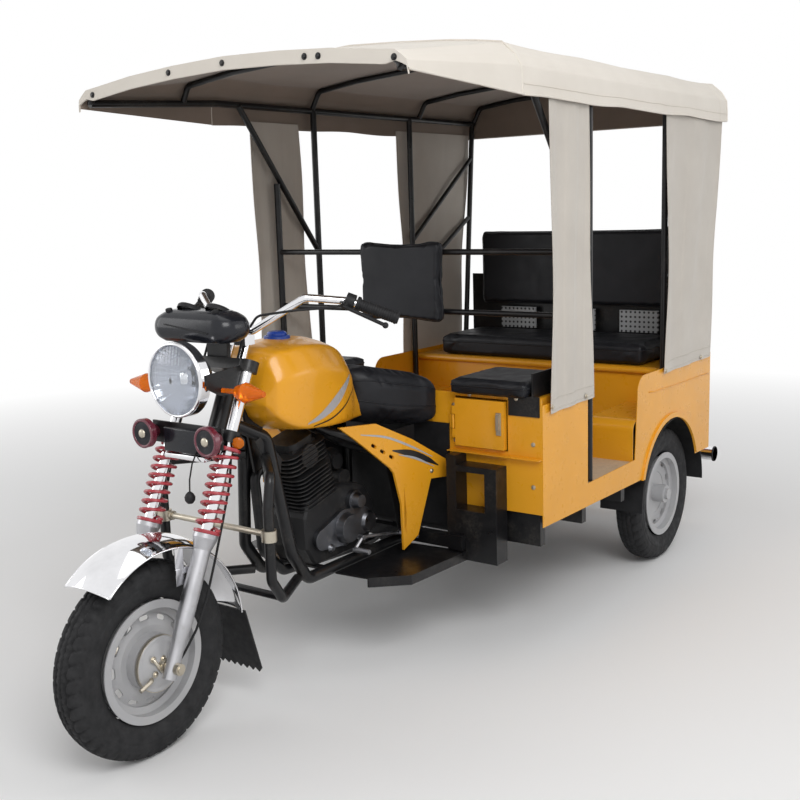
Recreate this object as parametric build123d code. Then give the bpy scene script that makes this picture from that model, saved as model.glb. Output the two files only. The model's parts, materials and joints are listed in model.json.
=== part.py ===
"""Passenger motor tricycle: a motorcycle front end joined to a three-sided
passenger carriage with a rear bench, two jump seats and a framed canopy.

Millimetres, +Z up, ground at z = 0, front of the vehicle towards -Y and its
left side towards +X. The pieces are drawn with the front axle at y = 0, and
write() moves them so that the origin is in the middle of the footprint.
"""
import math
import os

from build123d import *

os.makedirs("parts", exist_ok=True)

# Wheels and where they stand
TYRE_R = 272.5
TYRE_WIDTH = 106
BEAD_R = 153
BEAD_HALF = 36
RIM_FLANGE_R = 170
RIM_HALF = 43
RIM_WALL = 4
WHEELBASE = 2277
HALF_TRACK = 509
RUNNING_GAP = 6
AXLE_R = 10
SHAFT_FIT = 0.05
SEAT_GAP = 0.3

# Front fork, along the leg from the axle, and its steering stem
RAKE = 24.8
STEM_OFFSET = 55
LEG_X = 114
LEG_R = 24
LEG_LENGTH = 362
LEG_CUP_R = 34
LEG_CUP = 44
TUBE_R = 17
TUBE_TOP = 842
SPRING_R = 33
SPRING_WIRE_R = 4
SPRING_TURNS = 9
SPRING_STEPS = 12
COLLAR_R = 38
COLLAR_THICK = 10
LOWER_YOKE_AT = 618
SPRING_START = LEG_LENGTH + SEAT_GAP
SPRING_END = LOWER_YOKE_AT - 14
UPPER_YOKE_AT = 822
YOKE_THICK = 32
HEAD_R = 27
STEM_R = 14
HEAD_GAP = 6

# Front mudguard
GUARD_R = TYRE_R + 29.5
GUARD_BEHIND_AXLE = 22
GUARD_CENTRE_Z = TYRE_R + 36.5
GUARD_HALF_WIDTH = 88
GUARD_WALL = 3
GUARD_FRONT_ANGLE = 133
GUARD_REAR_ANGLE = 3
GUARD_CROWN = 26
STAY_Y = (58, 88)
STAY_LENGTH = 100
FLAP_WALL = 5
FLAP_DROP = 8.2
FLAP_TIP = (372, 112)
FLAP_TEETH = 7

# Lamps, horns and instruments
LAMP_R = 105
LAMP_FACE_Y = 168
LAMP_Z = 1012
LAMP_DEPTH = 95
LENS_THICK = 14
HORN_X = 124
HORN_Y = 176
HORN_Z = 855
HORN_R = 42
HORN_DEPTH = 34
INDICATOR_X = 214
INDICATOR_Y = 251
INDICATOR_Z = 981
INDICATOR_LENGTH = 96
INDICATOR_R = 28
STALK_R = 7
EAR_THICK = 4
POD_Y = 292
POD_Z = 1152
POD_HALF_WIDTH = 152
POD_HEIGHT = 84
POD_DEPTH = 128

# Handlebar
BAR_R = 11
RISER_X = 30
RISER_R = 12
GRIP_R = 16
GRIP_LENGTH = 128

# Carriage body
BODY_HALF = 610
PANEL = 3
FOLD = 22
BODY_FRONT = 1149
DOOR_FRONT = 1470
DOOR_REAR = 1865
BODY_REAR = 2640
BODY_TOP = 815
CORNER_TOP = 830
SILL_TOP = 505
BODY_BOTTOM_FRONT = 430
BODY_BOTTOM_REAR = 402
ARCH_Y = 2215
ARCH_Z = 322
ARCH_R = 282
ARCH_FLARE = 20
LEDGE_Z = 655
FLOOR_TOP = 500
FLOOR_THICK = 12
MAT_THICK = 3
MAT_EDGE = 14
BOX_DEPTH = 300
DOOR_X = (284, 482)
DOOR_Z = (668, 838)
DOOR_GAP = 5
DOOR_THICK = 18
HINGE_R = 6

# Bench, jump seats and the driver's saddle
BENCH_FRONT = 2215
BENCH_TOP = 800
BENCH_HALF = 500
CUSHION_THICK = 88
BACK_BOTTOM = 985
BACK_TOP = 1350
BACK_THICK = 60
JUMP_X = (278, 572)
JUMP_Y = (1112, 1412)
JUMP_Z = (850, 900)
SADDLE_Y = (806, 1138)
SADDLE_TOP = 905
SADDLE_BOTTOM = 745
DRIVER_BACK_Z = (1062, 1345)
DRIVER_BACK_HALF = 175

# Canopy
POST_X = 590
POST_R = 12
POST_1_Y = 1290
POST_2_Y = 1520
POST_3_Y = 2170
POST_4_Y = 2600
POST_LEAN = 90
RAIL_X = 597
RAIL_Z = 1838
FRONT_RAIL_Z = 1806
ROOF_FRONT = 436
COVER_FRONT = 1010
ROOF_REAR = 2725
BOW_R = 10
COVER_WALL = 4
HEM_Z = 1770
CURTAIN_WALL = 3
CURTAIN_FOOT = 796

# Chassis and rear axle
FRAME_R = 19
LADDER_Z = 360
LADDER_X = 330
LADDER_R = 25
AXLE_TUBE_R = 30
LEAF_THICK = 8
LEAF_REACHES = (290, 220, 150)
LEAF_TOP = TYRE_R + AXLE_TUBE_R - 1 + LEAF_THICK * len(LEAF_REACHES)
BUMPER_R = 30
REAR_REACH = 2810

RAKE_SIN = math.sin(math.radians(RAKE))
RAKE_COS = math.cos(math.radians(RAKE))
FRONT_TO_ORIGIN = -(REAR_REACH - TYRE_R) / 2


def write(node, *solids):
    """Move the node from the front axle's frame to the part's and save it."""
    whole = Compound(children=[s for group in solids for s in group.solids()])
    export_step(Pos(0, FRONT_TO_ORIGIN, 0) * whole, f"parts/{node}.step")


def mirrored(shape):
    """The shape and its copy on the vehicle's other side."""
    return [shape, mirror(shape, about=Plane.YZ)]


def both(shape):
    return Compound(children=[s for side in mirrored(shape) for s in side.solids()])


def rod(start, end, radius):
    """A round bar between two points."""
    start, end = Vector(*start), Vector(*end)
    way = end - start
    return Solid.make_cylinder(radius, way.length, Plane(origin=start, z_dir=way))


def pipe(points, radius, bend):
    """A round bar along straight runs joined by tangent arcs."""
    path = FilletPolyline(*points, radius=bend)
    start = Plane(origin=path @ 0, z_dir=path % 0)
    return sweep(start * Circle(radius), path=path)


def block(x, y, z):
    """A box from its ranges along X, Y and Z."""
    centre = Pos((x[0] + x[1]) / 2, (y[0] + y[1]) / 2, (z[0] + z[1]) / 2)
    return centre * Box(x[1] - x[0], y[1] - y[0], z[1] - z[0])


def side_plate(points, x, thickness):
    """A plate with its outline given in the side view as (y, z) points."""
    face = make_face(Polyline(*points, close=True))
    return extrude(Plane.YZ.offset(x) * face, amount=thickness)


def leg_point(along, x=0, offset=0):
    """A point on the fork's slope: along it from the axle, and behind its line."""
    y = along * RAKE_SIN + offset * RAKE_COS
    z = TYRE_R + along * RAKE_COS - offset * RAKE_SIN
    return (x, y, z)


def leg_plane(along, x=0, offset=0):
    return Plane(origin=leg_point(along, x, offset), x_dir=(1, 0, 0), z_dir=(0, RAKE_SIN, RAKE_COS))


# Wheels

def tyre():
    """Ring of the tyre's section turned about X, crown, shoulders and beads."""
    half = TYRE_WIDTH / 2
    shoulder = TYRE_R - 14
    bead_top = RIM_FLANGE_R + 2
    wall_r = bead_top + 0.5 * (shoulder - bead_top)
    outline = [
        Line((-BEAD_HALF, BEAD_R), (BEAD_HALF, BEAD_R)),
        Line((BEAD_HALF, BEAD_R), (BEAD_HALF, bead_top)),
        ThreePointArc((BEAD_HALF, bead_top), (half, wall_r), (half - 8, shoulder)),
        ThreePointArc((half - 8, shoulder), (0, TYRE_R), (8 - half, shoulder)),
        ThreePointArc((8 - half, shoulder), (-half, wall_r), (-BEAD_HALF, bead_top)),
        Line((-BEAD_HALF, bead_top), (-BEAD_HALF, BEAD_R)),
    ]
    section = make_face(Wire(outline))
    return revolve(Plane.XY * section, axis=Axis.X)


def rim_barrel():
    """Rolled rim with its two flanges, bead seats and drop centre."""
    well_r = BEAD_R - 20
    outer = [(-RIM_HALF, RIM_FLANGE_R), (-RIM_HALF, BEAD_R - SEAT_GAP), (-22, BEAD_R - SEAT_GAP),
             (-16, well_r), (16, well_r), (22, BEAD_R - SEAT_GAP), (RIM_HALF, BEAD_R - SEAT_GAP),
             (RIM_HALF, RIM_FLANGE_R)]
    inner = [(RIM_HALF + RIM_WALL, RIM_FLANGE_R), (RIM_HALF + RIM_WALL, BEAD_R - RIM_WALL - 2),
             (24, BEAD_R - RIM_WALL - 2), (18, well_r - RIM_WALL), (-18, well_r - RIM_WALL),
             (-24, BEAD_R - RIM_WALL - 2), (-RIM_HALF - RIM_WALL, BEAD_R - RIM_WALL - 2),
             (-RIM_HALF - RIM_WALL, RIM_FLANGE_R)]
    section = make_face(Polyline(*outer, *inner, close=True))
    return revolve(Plane.XY * section, axis=Axis.X)


def rim_disc(hub_r, dish, slots):
    """Pressed wheel disc from the hub to the rim, dished to x = dish, with slots."""
    edge_r = BEAD_R - RIM_WALL - 2
    profile = [(dish, hub_r - 2), (dish, hub_r + 16), (4, edge_r - 10), (4, edge_r + 1),
               (4 + RIM_WALL, edge_r + 1), (4 + RIM_WALL, edge_r - 8),
               (dish + RIM_WALL, hub_r + 18), (dish + RIM_WALL, hub_r - 2)]
    disc = revolve(Plane.XY * make_face(Polyline(*profile, close=True)), axis=Axis.X)
    middle = (hub_r + 18 + edge_r - 8) / 2
    for i in range(slots):
        cut = Rot(i * 360 / slots, 0, 0) * Pos(0, 0, middle) * Rot(0, 90, 0)
        disc -= cut * extrude(SlotOverall(32, 13, rotation=90), amount=60, both=True)
    return disc


def turned(start, end, radius):
    """A cylinder about the X axis."""
    return Solid.make_cylinder(radius, end - start, Plane(origin=(start, 0, 0), z_dir=(1, 0, 0)))


FRONT_DRUM_R = 78
FRONT_HUB = (-60, 52)
REAR_DRUM_R = 88
REAR_DRUM_DEPTH = 62
STUB_R = 16
STUB_LENGTH = 60

front_place = Pos(0, 0, TYRE_R)
front_hub = turned(FRONT_HUB[0], FRONT_HUB[1], 34) + turned(16, FRONT_HUB[1], FRONT_DRUM_R)
front_hub -= turned(-200, 200, AXLE_R + SHAFT_FIT)
write("front_tyre", front_place * tyre())
write("front_rim", front_place * (rim_barrel() + rim_disc(FRONT_DRUM_R, 18, 12) + front_hub))

for side, x in (("left", HALF_TRACK), ("right", -HALF_TRACK)):
    turn = Rot(0, 0, 0) if x > 0 else Rot(0, 0, 180)
    place = Pos(x, WHEELBASE, TYRE_R) * turn
    hub = turned(-REAR_DRUM_DEPTH, 8, REAR_DRUM_R) + turned(0, 58, 36) + turned(56, 70, 22)
    hub += turned(-REAR_DRUM_DEPTH - STUB_LENGTH, -REAR_DRUM_DEPTH + 2, STUB_R)
    write(f"rear_tyre_{side}", place * tyre())
    write(f"rear_rim_{side}", place * (rim_barrel() + rim_disc(REAR_DRUM_R, 6, 10) + hub))


# Fork and what turns with it

def fork_legs():
    """Cast lower legs with axle lugs and mudguard brackets."""
    legs = []
    for x in (LEG_X, -LEG_X):
        foot = leg_plane(-32, x)
        leg = Solid.make_cylinder(LEG_R - 5, 90, foot)
        leg += Solid.make_cone(LEG_R - 5, LEG_R, 60, leg_plane(58, x))
        cup = LEG_LENGTH - LEG_CUP
        leg += Solid.make_cylinder(LEG_R, cup - 118, leg_plane(118, x))
        leg += Solid.make_cone(LEG_R, LEG_CUP_R, LEG_CUP - 12, leg_plane(cup, x))
        leg += Solid.make_cylinder(LEG_CUP_R, 12, leg_plane(LEG_LENGTH - 12, x))
        leg -= rod((x - 60, 0, TYRE_R), (x + 60, 0, TYRE_R), AXLE_R + SHAFT_FIT)
        legs.append(leg)
    return Compound(children=[s for leg in legs for s in leg.solids()])


def fork_tubes():
    tubes = [Solid.make_cylinder(TUBE_R, TUBE_TOP - LEG_LENGTH, leg_plane(LEG_LENGTH, x))
             for x in (LEG_X, -LEG_X)]
    return Compound(children=tubes)


def coil(x):
    """Spring wire in short straight lengths along its helix, six-sided like its facets."""
    steps = SPRING_STEPS * SPRING_TURNS
    rise = (SPRING_END - SPRING_START - COLLAR_THICK) / steps
    points = []
    for i in range(steps + 1):
        turn = math.radians(360 * i / SPRING_STEPS)
        along = SPRING_START + COLLAR_THICK / 2 + rise * i
        points.append(leg_point(along, x + SPRING_R * math.cos(turn), SPRING_R * math.sin(turn)))
    path = Polyline(*points)
    wire = Plane(origin=path @ 0, z_dir=path % 0) * RegularPolygon(SPRING_WIRE_R, 6)
    return sweep(wire, path=path, transition=Transition.RIGHT)


def spring_set(x):
    """External fork spring between its two collars."""
    whole = coil(x)
    for at in (SPRING_START, SPRING_END - COLLAR_THICK):
        whole += Solid.make_cylinder(COLLAR_R, COLLAR_THICK, leg_plane(at, x))
    return whole - Solid.make_cylinder(TUBE_R, 1000, leg_plane(0, x))


def yokes():
    """Lower and upper clamp plates on one stem, with the lamp and horn brackets."""
    whole = Solid.make_cylinder(STEM_R, UPPER_YOKE_AT - LOWER_YOKE_AT, leg_plane(LOWER_YOKE_AT, 0, STEM_OFFSET))
    for at in (LOWER_YOKE_AT, UPPER_YOKE_AT):
        plane = leg_plane(at)
        whole += extrude(plane * Rectangle(2 * LEG_X, 2 * TUBE_R + 14), amount=YOKE_THICK)
        whole += extrude(plane * (Pos(0, STEM_OFFSET / 2) * Rectangle(92, STEM_OFFSET + 36)), amount=YOKE_THICK)
        for x in (LEG_X, -LEG_X):
            whole += Solid.make_cylinder(TUBE_R + 11, YOKE_THICK, leg_plane(at, x))
    ear_x = LAMP_R + SEAT_GAP
    ear = side_plate([(LAMP_FACE_Y + 26, LAMP_Z + 18), (LAMP_FACE_Y + 26, LAMP_Z - 20), (240, LAMP_Z - 44),
                      (300, LAMP_Z - 50), (345, LAMP_Z - 12), (352, LAMP_Z + 34), (318, LAMP_Z + 28)], ear_x, EAR_THICK)
    whole += ear + mirror(ear, about=Plane.YZ)
    back_y = HORN_Y + HORN_DEPTH
    whole += block((-HORN_X - 12, HORN_X + 12), (back_y + SEAT_GAP, back_y + 6), (HORN_Z - 32, HORN_Z + 30))
    for x in (LEG_X, -LEG_X):
        whole -= Solid.make_cylinder(COLLAR_R + SEAT_GAP, SPRING_END - SPRING_START + SEAT_GAP, leg_plane(SPRING_START, x))
    whole += block((-34, 34), (back_y + 4, 262), (HORN_Z - 14, HORN_Z + 12))
    pod_foot = POD_Z - POD_HEIGHT / 2 - SEAT_GAP
    whole += block((-40, 40), (POD_Y - 16, 356), (pod_foot - 6, pod_foot))
    whole += block((-40, 40), (346, 360), (1048, pod_foot - 1))
    for x in (LEG_X, -LEG_X):
        whole -= Solid.make_cylinder(TUBE_R, 900, leg_plane(300, x))
    return whole


def front_axle():
    """Spindle with nuts, spacers and the brake plate on the left."""
    leg_face = LEG_X - LEG_R + 5
    spindle = rod((-150, 0, TYRE_R), (150, 0, TYRE_R), AXLE_R)
    plate_at = FRONT_HUB[1] + RUNNING_GAP
    whole = spindle + rod((plate_at, 0, TYRE_R), (plate_at + 10, 0, TYRE_R), FRONT_DRUM_R)
    whole += rod((plate_at, 0, TYRE_R), (leg_face, 0, TYRE_R), 18)
    whole += rod((-leg_face, 0, TYRE_R), (FRONT_HUB[0] - RUNNING_GAP, 0, TYRE_R), 18)
    for s in (1, -1):
        whole += rod((s * (LEG_X + LEG_R - 5), 0, TYRE_R), (s * (LEG_X + LEG_R + 9), 0, TYRE_R), 16)
    whole += pipe([(plate_at + 4, -40, TYRE_R - 30), (plate_at + 22, -40, TYRE_R - 30),
                   (plate_at + 22, -84, TYRE_R - 44)], 6, 8)
    return whole + rod((plate_at + 8, DRIVE_Y, DRIVE_Z), (plate_at + 42, DRIVE_Y, DRIVE_Z), 12)


def guard_point(angle, radius=GUARD_R):
    a = math.radians(angle)
    return (0, GUARD_BEHIND_AXLE + radius * math.cos(a), GUARD_CENTRE_Z + radius * math.sin(a))


def front_guard():
    """Curved mudguard: a crowned strip with turned-down edges, swept round its arc."""
    w, t, c = GUARD_HALF_WIDTH, GUARD_WALL, GUARD_CROWN
    outline = [
        ThreePointArc((GUARD_R - c, -w), (GUARD_R, 0), (GUARD_R - c, w)),
        Line((GUARD_R - c, w), (GUARD_R - c - t, w)),
        ThreePointArc((GUARD_R - c - t, w), (GUARD_R - t, 0), (GUARD_R - c - t, -w)),
        Line((GUARD_R - c - t, -w), (GUARD_R - c, -w)),
    ]
    start = math.radians(GUARD_REAR_ANGLE)
    radial = (0, math.cos(start), math.sin(start))
    plane = Plane(origin=(0, GUARD_BEHIND_AXLE, GUARD_CENTRE_Z), x_dir=radial, z_dir=(0, math.sin(start), -math.cos(start)))
    section = plane * make_face(Wire(outline))
    hub = Axis((0, GUARD_BEHIND_AXLE, GUARD_CENTRE_Z), (1, 0, 0))
    guard = revolve(section, axis=hub, revolution_arc=GUARD_FRONT_ANGLE - GUARD_REAR_ANGLE)
    lip_z = GUARD_CENTRE_Z + math.sqrt((GUARD_R - c - t) ** 2 - (STAY_Y[1] - GUARD_BEHIND_AXLE) ** 2)
    foot_z = lip_z - STAY_LENGTH
    stay = side_plate([(STAY_Y[0], lip_z + t), (STAY_Y[1], lip_z + t), (STAY_Y[1], foot_z), (STAY_Y[0], foot_z)], w - t, t)
    leg_y = (foot_z + 40 - TYRE_R) * math.tan(math.radians(RAKE))
    stay += block((w - t, LEG_X - LEG_R - SEAT_GAP), (STAY_Y[0], leg_y + 6), (foot_z + 30, foot_z + 46))
    return guard + stay + mirror(stay, about=Plane.YZ)


def flap():
    """Rubber mud flap with a saw-toothed foot."""
    top = guard_point(GUARD_REAR_ANGLE - math.degrees(FLAP_DROP / GUARD_R), GUARD_R - 10)
    lean = Vector(0, FLAP_TIP[0] - top[1], FLAP_TIP[1] - top[2])
    w = GUARD_HALF_WIDTH
    length = lean.length
    pitch = 2 * w / FLAP_TEETH
    foot = []
    for i in range(FLAP_TEETH):
        foot += [(w - pitch * i, length - 14), (w - pitch * (i + 0.5), length)]
    plane = Plane(origin=top, x_dir=(1, 0, 0), z_dir=(0, lean.Z, -lean.Y))
    sign = 1 if plane.y_dir.dot(lean) > 0 else -1
    outline = [(-w, -7.6), (w, -7.6), *foot, (-w, length - 14)]
    face = make_face(Polyline(*[(x, sign * y) for x, y in outline], close=True))
    return extrude(plane * face, amount=FLAP_WALL)


def horn(x):
    mouth = Plane(origin=(x, HORN_Y - HORN_DEPTH / 2, HORN_Z), z_dir=(0, 1, 0))
    shell = Solid.make_cylinder(HORN_R, HORN_DEPTH / 2, mouth)
    shell += Solid.make_cone(HORN_R - 4, 16, HORN_DEPTH, mouth.offset(HORN_DEPTH / 2))
    shell -= Solid.make_cone(HORN_R - 6, 10, 14, mouth)
    return shell


def headlamp():
    """Bucket open towards its lens."""
    face = Plane(origin=(0, LAMP_FACE_Y + LENS_THICK, LAMP_Z), z_dir=(0, 1, 0))
    bucket = Solid.make_cylinder(LAMP_R, 30, face)
    bucket += Solid.make_cone(LAMP_R, 48, LAMP_DEPTH - 30, face.offset(30))
    hollow = Solid.make_cylinder(LAMP_R - 4, 30, face)
    hollow += Solid.make_cone(LAMP_R - 4, 44, LAMP_DEPTH - 34, face.offset(30))
    return bucket - hollow


def lens():
    face = Plane(origin=(0, LAMP_FACE_Y, LAMP_Z), z_dir=(0, 1, 0))
    return Solid.make_cone(LAMP_R - 14, LAMP_R, LENS_THICK - SEAT_GAP, face)


def indicator():
    """Pointed amber lamp on its stalk."""
    start = INDICATOR_X - INDICATOR_LENGTH / 2
    plane = Plane(origin=(start, INDICATOR_Y, INDICATOR_Z), z_dir=(1, 0, 0))
    lamp = Solid.make_cone(18, INDICATOR_R, 30, plane)
    lamp += Solid.make_cone(INDICATOR_R, 8, INDICATOR_LENGTH - 30, plane.offset(30))
    ear_face = LAMP_R + EAR_THICK + 2 * SEAT_GAP
    return lamp + rod((ear_face, INDICATOR_Y, INDICATOR_Z), (start + 1, INDICATOR_Y, INDICATOR_Z), STALK_R)


POD_SECTIONS = (  # share of the height, width and depth, corner radius
    (-0.5, 1.62, 0.74, 40), (-0.36, 1.86, 0.9, 48), (-0.1, 2, 1, 55), (0.24, 1.9, 0.9, 50), (0.5, 1.4, 0.56, 32))


def pod():
    """Instrument housing with its hood, on a foot over the upper yoke."""
    faces = []
    for rise, width, depth, corner in POD_SECTIONS:
        plane = Plane(origin=(0, POD_Y, POD_Z + rise * POD_HEIGHT))
        faces.append(plane * RectangleRounded(width * POD_HALF_WIDTH, depth * POD_DEPTH, corner))
    return loft(faces, ruled=True)


BAR_ROUTE = [(0, 428, 1122), (62, 428, 1122), (206, 500, 1216), (286, 598, 1200), (402, 668, 1148)]


def handlebar():
    near = pipe(BAR_ROUTE, BAR_R, 26)
    clamp = block((-52, 52), (408, 448), (1082, 1146))
    foot = UPPER_YOKE_AT + YOKE_THICK + SEAT_GAP
    for x in (RISER_X, -RISER_X):
        clamp += Solid.make_cylinder(RISER_R, 78, leg_plane(foot, x, STEM_OFFSET))
    return near + mirror(near, about=Plane.YZ) + clamp


def hand_control():
    """Grip, switch housing and lever with a ball end."""
    inner, outer = Vector(*BAR_ROUTE[3]), Vector(*BAR_ROUTE[4])
    way = (outer - inner).normalized()
    grip = Plane(origin=outer - way * (GRIP_LENGTH - 6), z_dir=way)
    hand = Solid.make_cylinder(GRIP_R, GRIP_LENGTH, grip)
    hand += Solid.make_cylinder(GRIP_R + 6, 8, grip)
    switch = Plane(origin=inner - way * 4, z_dir=way)
    hand += Solid.make_cylinder(23, 26, Plane(origin=outer - way * (GRIP_LENGTH + 26), z_dir=way))
    ahead = Vector(0, -1, -0.35).normalized()
    pivot = outer - way * (GRIP_LENGTH + 14) + ahead * 34
    tip = outer + ahead * 52 - way * 4
    hand += rod(outer - way * (GRIP_LENGTH + 14), pivot, 9)
    hand += rod(pivot, tip, 5.5)
    hand += Pos(*tip) * Sphere(9)
    bar = pipe(BAR_ROUTE, BAR_R + SEAT_GAP / 3, 26)
    return hand - bar


CABLE_R = 3.5
CABLE_X = 66
LEVER_CABLE = [(276.8, 572.6, 1189.3), (256, 552, 1184), (206, 456, 1184), (120, 392, 1172), leg_point(920, CABLE_X),
               leg_point(UPPER_YOKE_AT + YOKE_THICK + SEAT_GAP, CABLE_X)]
DRIVE_Y = 30
DRIVE_Z = TYRE_R - 6
BRAKE_CABLE = [leg_point(634, 70, TUBE_R + 9), leg_point(626, 74, 50), (92, 276, 720), (101, 232, 620),
               (105, 190, 520), (106, 148, 420), (103, 104, 340), (97, 62, 288), (92, DRIVE_Y + 15.5, DRIVE_Z + 2)]


def control_cables():
    """Lever cables to the upper yoke, and the drive cable behind the left leg."""
    lever = pipe(LEVER_CABLE, CABLE_R, 30)
    return [lever, mirror(lever, about=Plane.YZ), pipe(BRAKE_CABLE, CABLE_R, 40)]


write("fork_legs", fork_legs())
write("fork_tubes", fork_tubes())
write("fork_springs", *[spring_set(x) for x in (LEG_X, -LEG_X)])
write("fork_yokes", yokes())
write("front_axle", front_axle())
write("front_fender", front_guard())
write("front_mud_flap", flap())
write("horns", *[horn(x) for x in (HORN_X, -HORN_X)])
write("headlamp", headlamp())
write("headlamp_lens", lens())
write("indicators", *mirrored(indicator()))
write("instrument_pod", pod())
write("handlebar", handlebar())
write("hand_controls", *mirrored(hand_control()))
write("control_cables", *control_cables())


# Motorcycle frame and what it carries

BACKBONE = [leg_point(768, 0, STEM_OFFSET), (0, 600, 868), (0, 880, 716), (0, 1080, 640)]
CROSS_Y = 1080
CRADLE_Z = LADDER_Z - 20
SEAT_RAIL_X = 130


def main_frame():
    """Steering head, backbone, twin down tubes with cradle, and seat rails."""
    whole = Solid.make_cylinder(HEAD_R, UPPER_YOKE_AT - LOWER_YOKE_AT - YOKE_THICK - 2 * HEAD_GAP,
                                leg_plane(LOWER_YOKE_AT + YOKE_THICK + HEAD_GAP, 0, STEM_OFFSET))
    low = leg_point(690, 0, STEM_OFFSET)
    whole += pipe(BACKBONE, 24, 60)
    for s in (1, -1):
        x = s * 96
        whole += pipe([low, (s * 46, 480, 800), (x, 512, 440), (x, 580, CRADLE_Z), (x, CROSS_Y - 20, CRADLE_Z)],
                      FRAME_R, 40)
        rail = s * SEAT_RAIL_X
        whole += pipe([(s * 20, 740, 780), (rail, 860, 716), (rail, CROSS_Y, 700), (rail, CROSS_Y, LADDER_Z + 20)],
                      14, 30)
    whole += rod((-SEAT_RAIL_X, CROSS_Y, 640), (SEAT_RAIL_X, CROSS_Y, 640), 14)
    for y in (650, 890):
        whole += block((-96, 96), (y - 15, y + 15), (CRADLE_Z + FRAME_R - 6, CRADLE_Z + FRAME_R))
    gusset = side_plate([(430, 905), (520, 880), (500, 700), (470, 690)], -4, 8)
    for s in (1, -1):
        low, high = sorted((s * 50, s * 54))
        whole += side_plate([(428, 800), (462, 812), (536, 724), (520, 640), (500, 640), (478, 700)], low, high - low)
    return whole + gusset - stem_bore()


def stem_bore():
    return Solid.make_cylinder(STEM_R + SHAFT_FIT, 1000, leg_plane(400, 0, STEM_OFFSET))


def load_frame():
    """Ladder chassis under the carriage, with its cross members and bumper brackets."""
    whole = block((-LADDER_X, LADDER_X), (CROSS_Y - 20, CROSS_Y + 20), (LADDER_Z - 20, LADDER_Z + 20))
    for y in (1500, 1900, 2560):
        whole += block((-LADDER_X, LADDER_X), (y - 20, y + 20), (LADDER_Z - 20, LADDER_Z + 20))
    for y in (1180, 1480, 1800):
        whole += block((20 - BODY_HALF, BODY_HALF - 20), (y - 15, y + 15), (LADDER_Z, FLOOR_TOP - FLOOR_THICK))
    for s in (1, -1):
        inner, outer = sorted((s * (LADDER_X - LADDER_R), s * (LADDER_X + LADDER_R)))
        whole += block((inner, outer), (CROSS_Y - 20, BODY_REAR), (LADDER_Z - LADDER_R, LADDER_Z + LADDER_R))
        low, high = sorted((s * 300, s * 340))
        whole += block((low, high), (BODY_REAR - 10, REAR_REACH - 2 * BUMPER_R + 8), (LADDER_Z - 20, LADDER_Z + 10))
        for y in (WHEELBASE - LEAF_REACHES[0] + 20, WHEELBASE + LEAF_REACHES[0] - 20):
            whole += block((low, high), (y - 18, y + 18), (LEAF_TOP + SEAT_GAP, LADDER_Z))
    return whole - bumper()


POST_BARS = (  # x from and to, z from and to, of one frame's bars
    (286, 322, 300, LEDGE_Z - PANEL - SEAT_GAP), (432, 476, 300, 620), (286, 476, 300, 470), (286, 476, 600, 620))


def post_frame():
    """Black frame of two uprights and two cross bars, between the ladder and the front wall."""
    whole = None
    for near, far, foot, head in POST_BARS:
        bar = block((near, far), (CROSS_Y, BODY_FRONT - SEAT_GAP), (foot, head))
        whole = bar if whole is None else whole + bar
    return whole - load_frame()


def bumper():
    y = REAR_REACH - BUMPER_R
    return rod((20 - BODY_HALF, y, LADDER_Z - 20), (BODY_HALF - 20, y, LADDER_Z - 20), BUMPER_R)


CLAMP_Z = 572


def crash_bar():
    """Engine guard: a loop each side of the cradle and a cross bar."""
    loop = pipe([(40, 480, 742), (206, 318, 736), (212, 296, 650), (212, 296, 440), (200, 350, 370), (90, 540, 352)],
                15, 30)
    cross = rod((-200, 352, 371), (200, 352, 371), 11)
    return loop + mirror(loop, about=Plane.YZ) + cross - main_frame()


def crash_clamps():
    """Plated clamps and link that tie the guard loops to the down tubes."""
    whole = rod((-186, 304, CLAMP_Z), (186, 304, CLAMP_Z), 9)
    for s in (1, -1):
        whole += rod((s * 212, 296, CLAMP_Z - 16), (s * 212, 296, CLAMP_Z + 16), 22)
        whole += rod((s * 212, 304, CLAMP_Z), (s * 182, 304, CLAMP_Z), 14)
    return whole - crash_bar() - main_frame()


CYLINDER_TILT = 14
CYLINDER_FOOT = (690, 540)
CASE_X = 78
CASE_OUTLINE = [
    (604, 420), (640, 350), (900, 350), (946, 410), (950, 500), (905, 566), (800, 590), (620, 580), (600, 520)]
FIN_TABLE = (  # first height up the cylinder, pitch, count, width, depth
    (24, 13, 9, 170, 176), (146, 14, 5, 150, 190))


def engine():
    """Crankcase, finned cylinder and head leaning forward, carburettor and starter motor."""
    low = CRADLE_Z + FRAME_R + SEAT_GAP
    outline = [(y, max(z, low)) for y, z in CASE_OUTLINE]
    case = side_plate(outline, -CASE_X, 2 * CASE_X)
    whole = chamfer(case.edges().filter_by(GeomType.LINE).filter_by(Axis.X, reverse=True), 7)
    tilt = Pos(0, *CYLINDER_FOOT) * Rot(CYLINDER_TILT, 0, 0)
    whole += tilt * Pos(0, 0, 104) * Box(104, 112, 222)
    for start, pitch, count, width, depth in FIN_TABLE:
        for i in range(count):
            plate = fillet(Box(width, depth, 4).edges().filter_by(Axis.Z), 34)
            whole += tilt * Pos(0, 0, start + pitch * i) * plate
    whole += tilt * Pos(0, 0, 222) * fillet(Box(112, 120, 22).edges().filter_by(Axis.Z), 30)
    whole += tilt * Pos(56, 0, 176) * Rot(0, 90, 0) * Cylinder(38, 30)
    whole += rod((0, 722, 668), (0, 800, 668), 24) + rod((0, 796, 660), (0, 840, 660), 34)
    whole += rod((-40, 818, 655), (40, 818, 655), 26)
    return whole + rod((-60, 836, 596), (50, 836, 596), 30)


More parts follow.
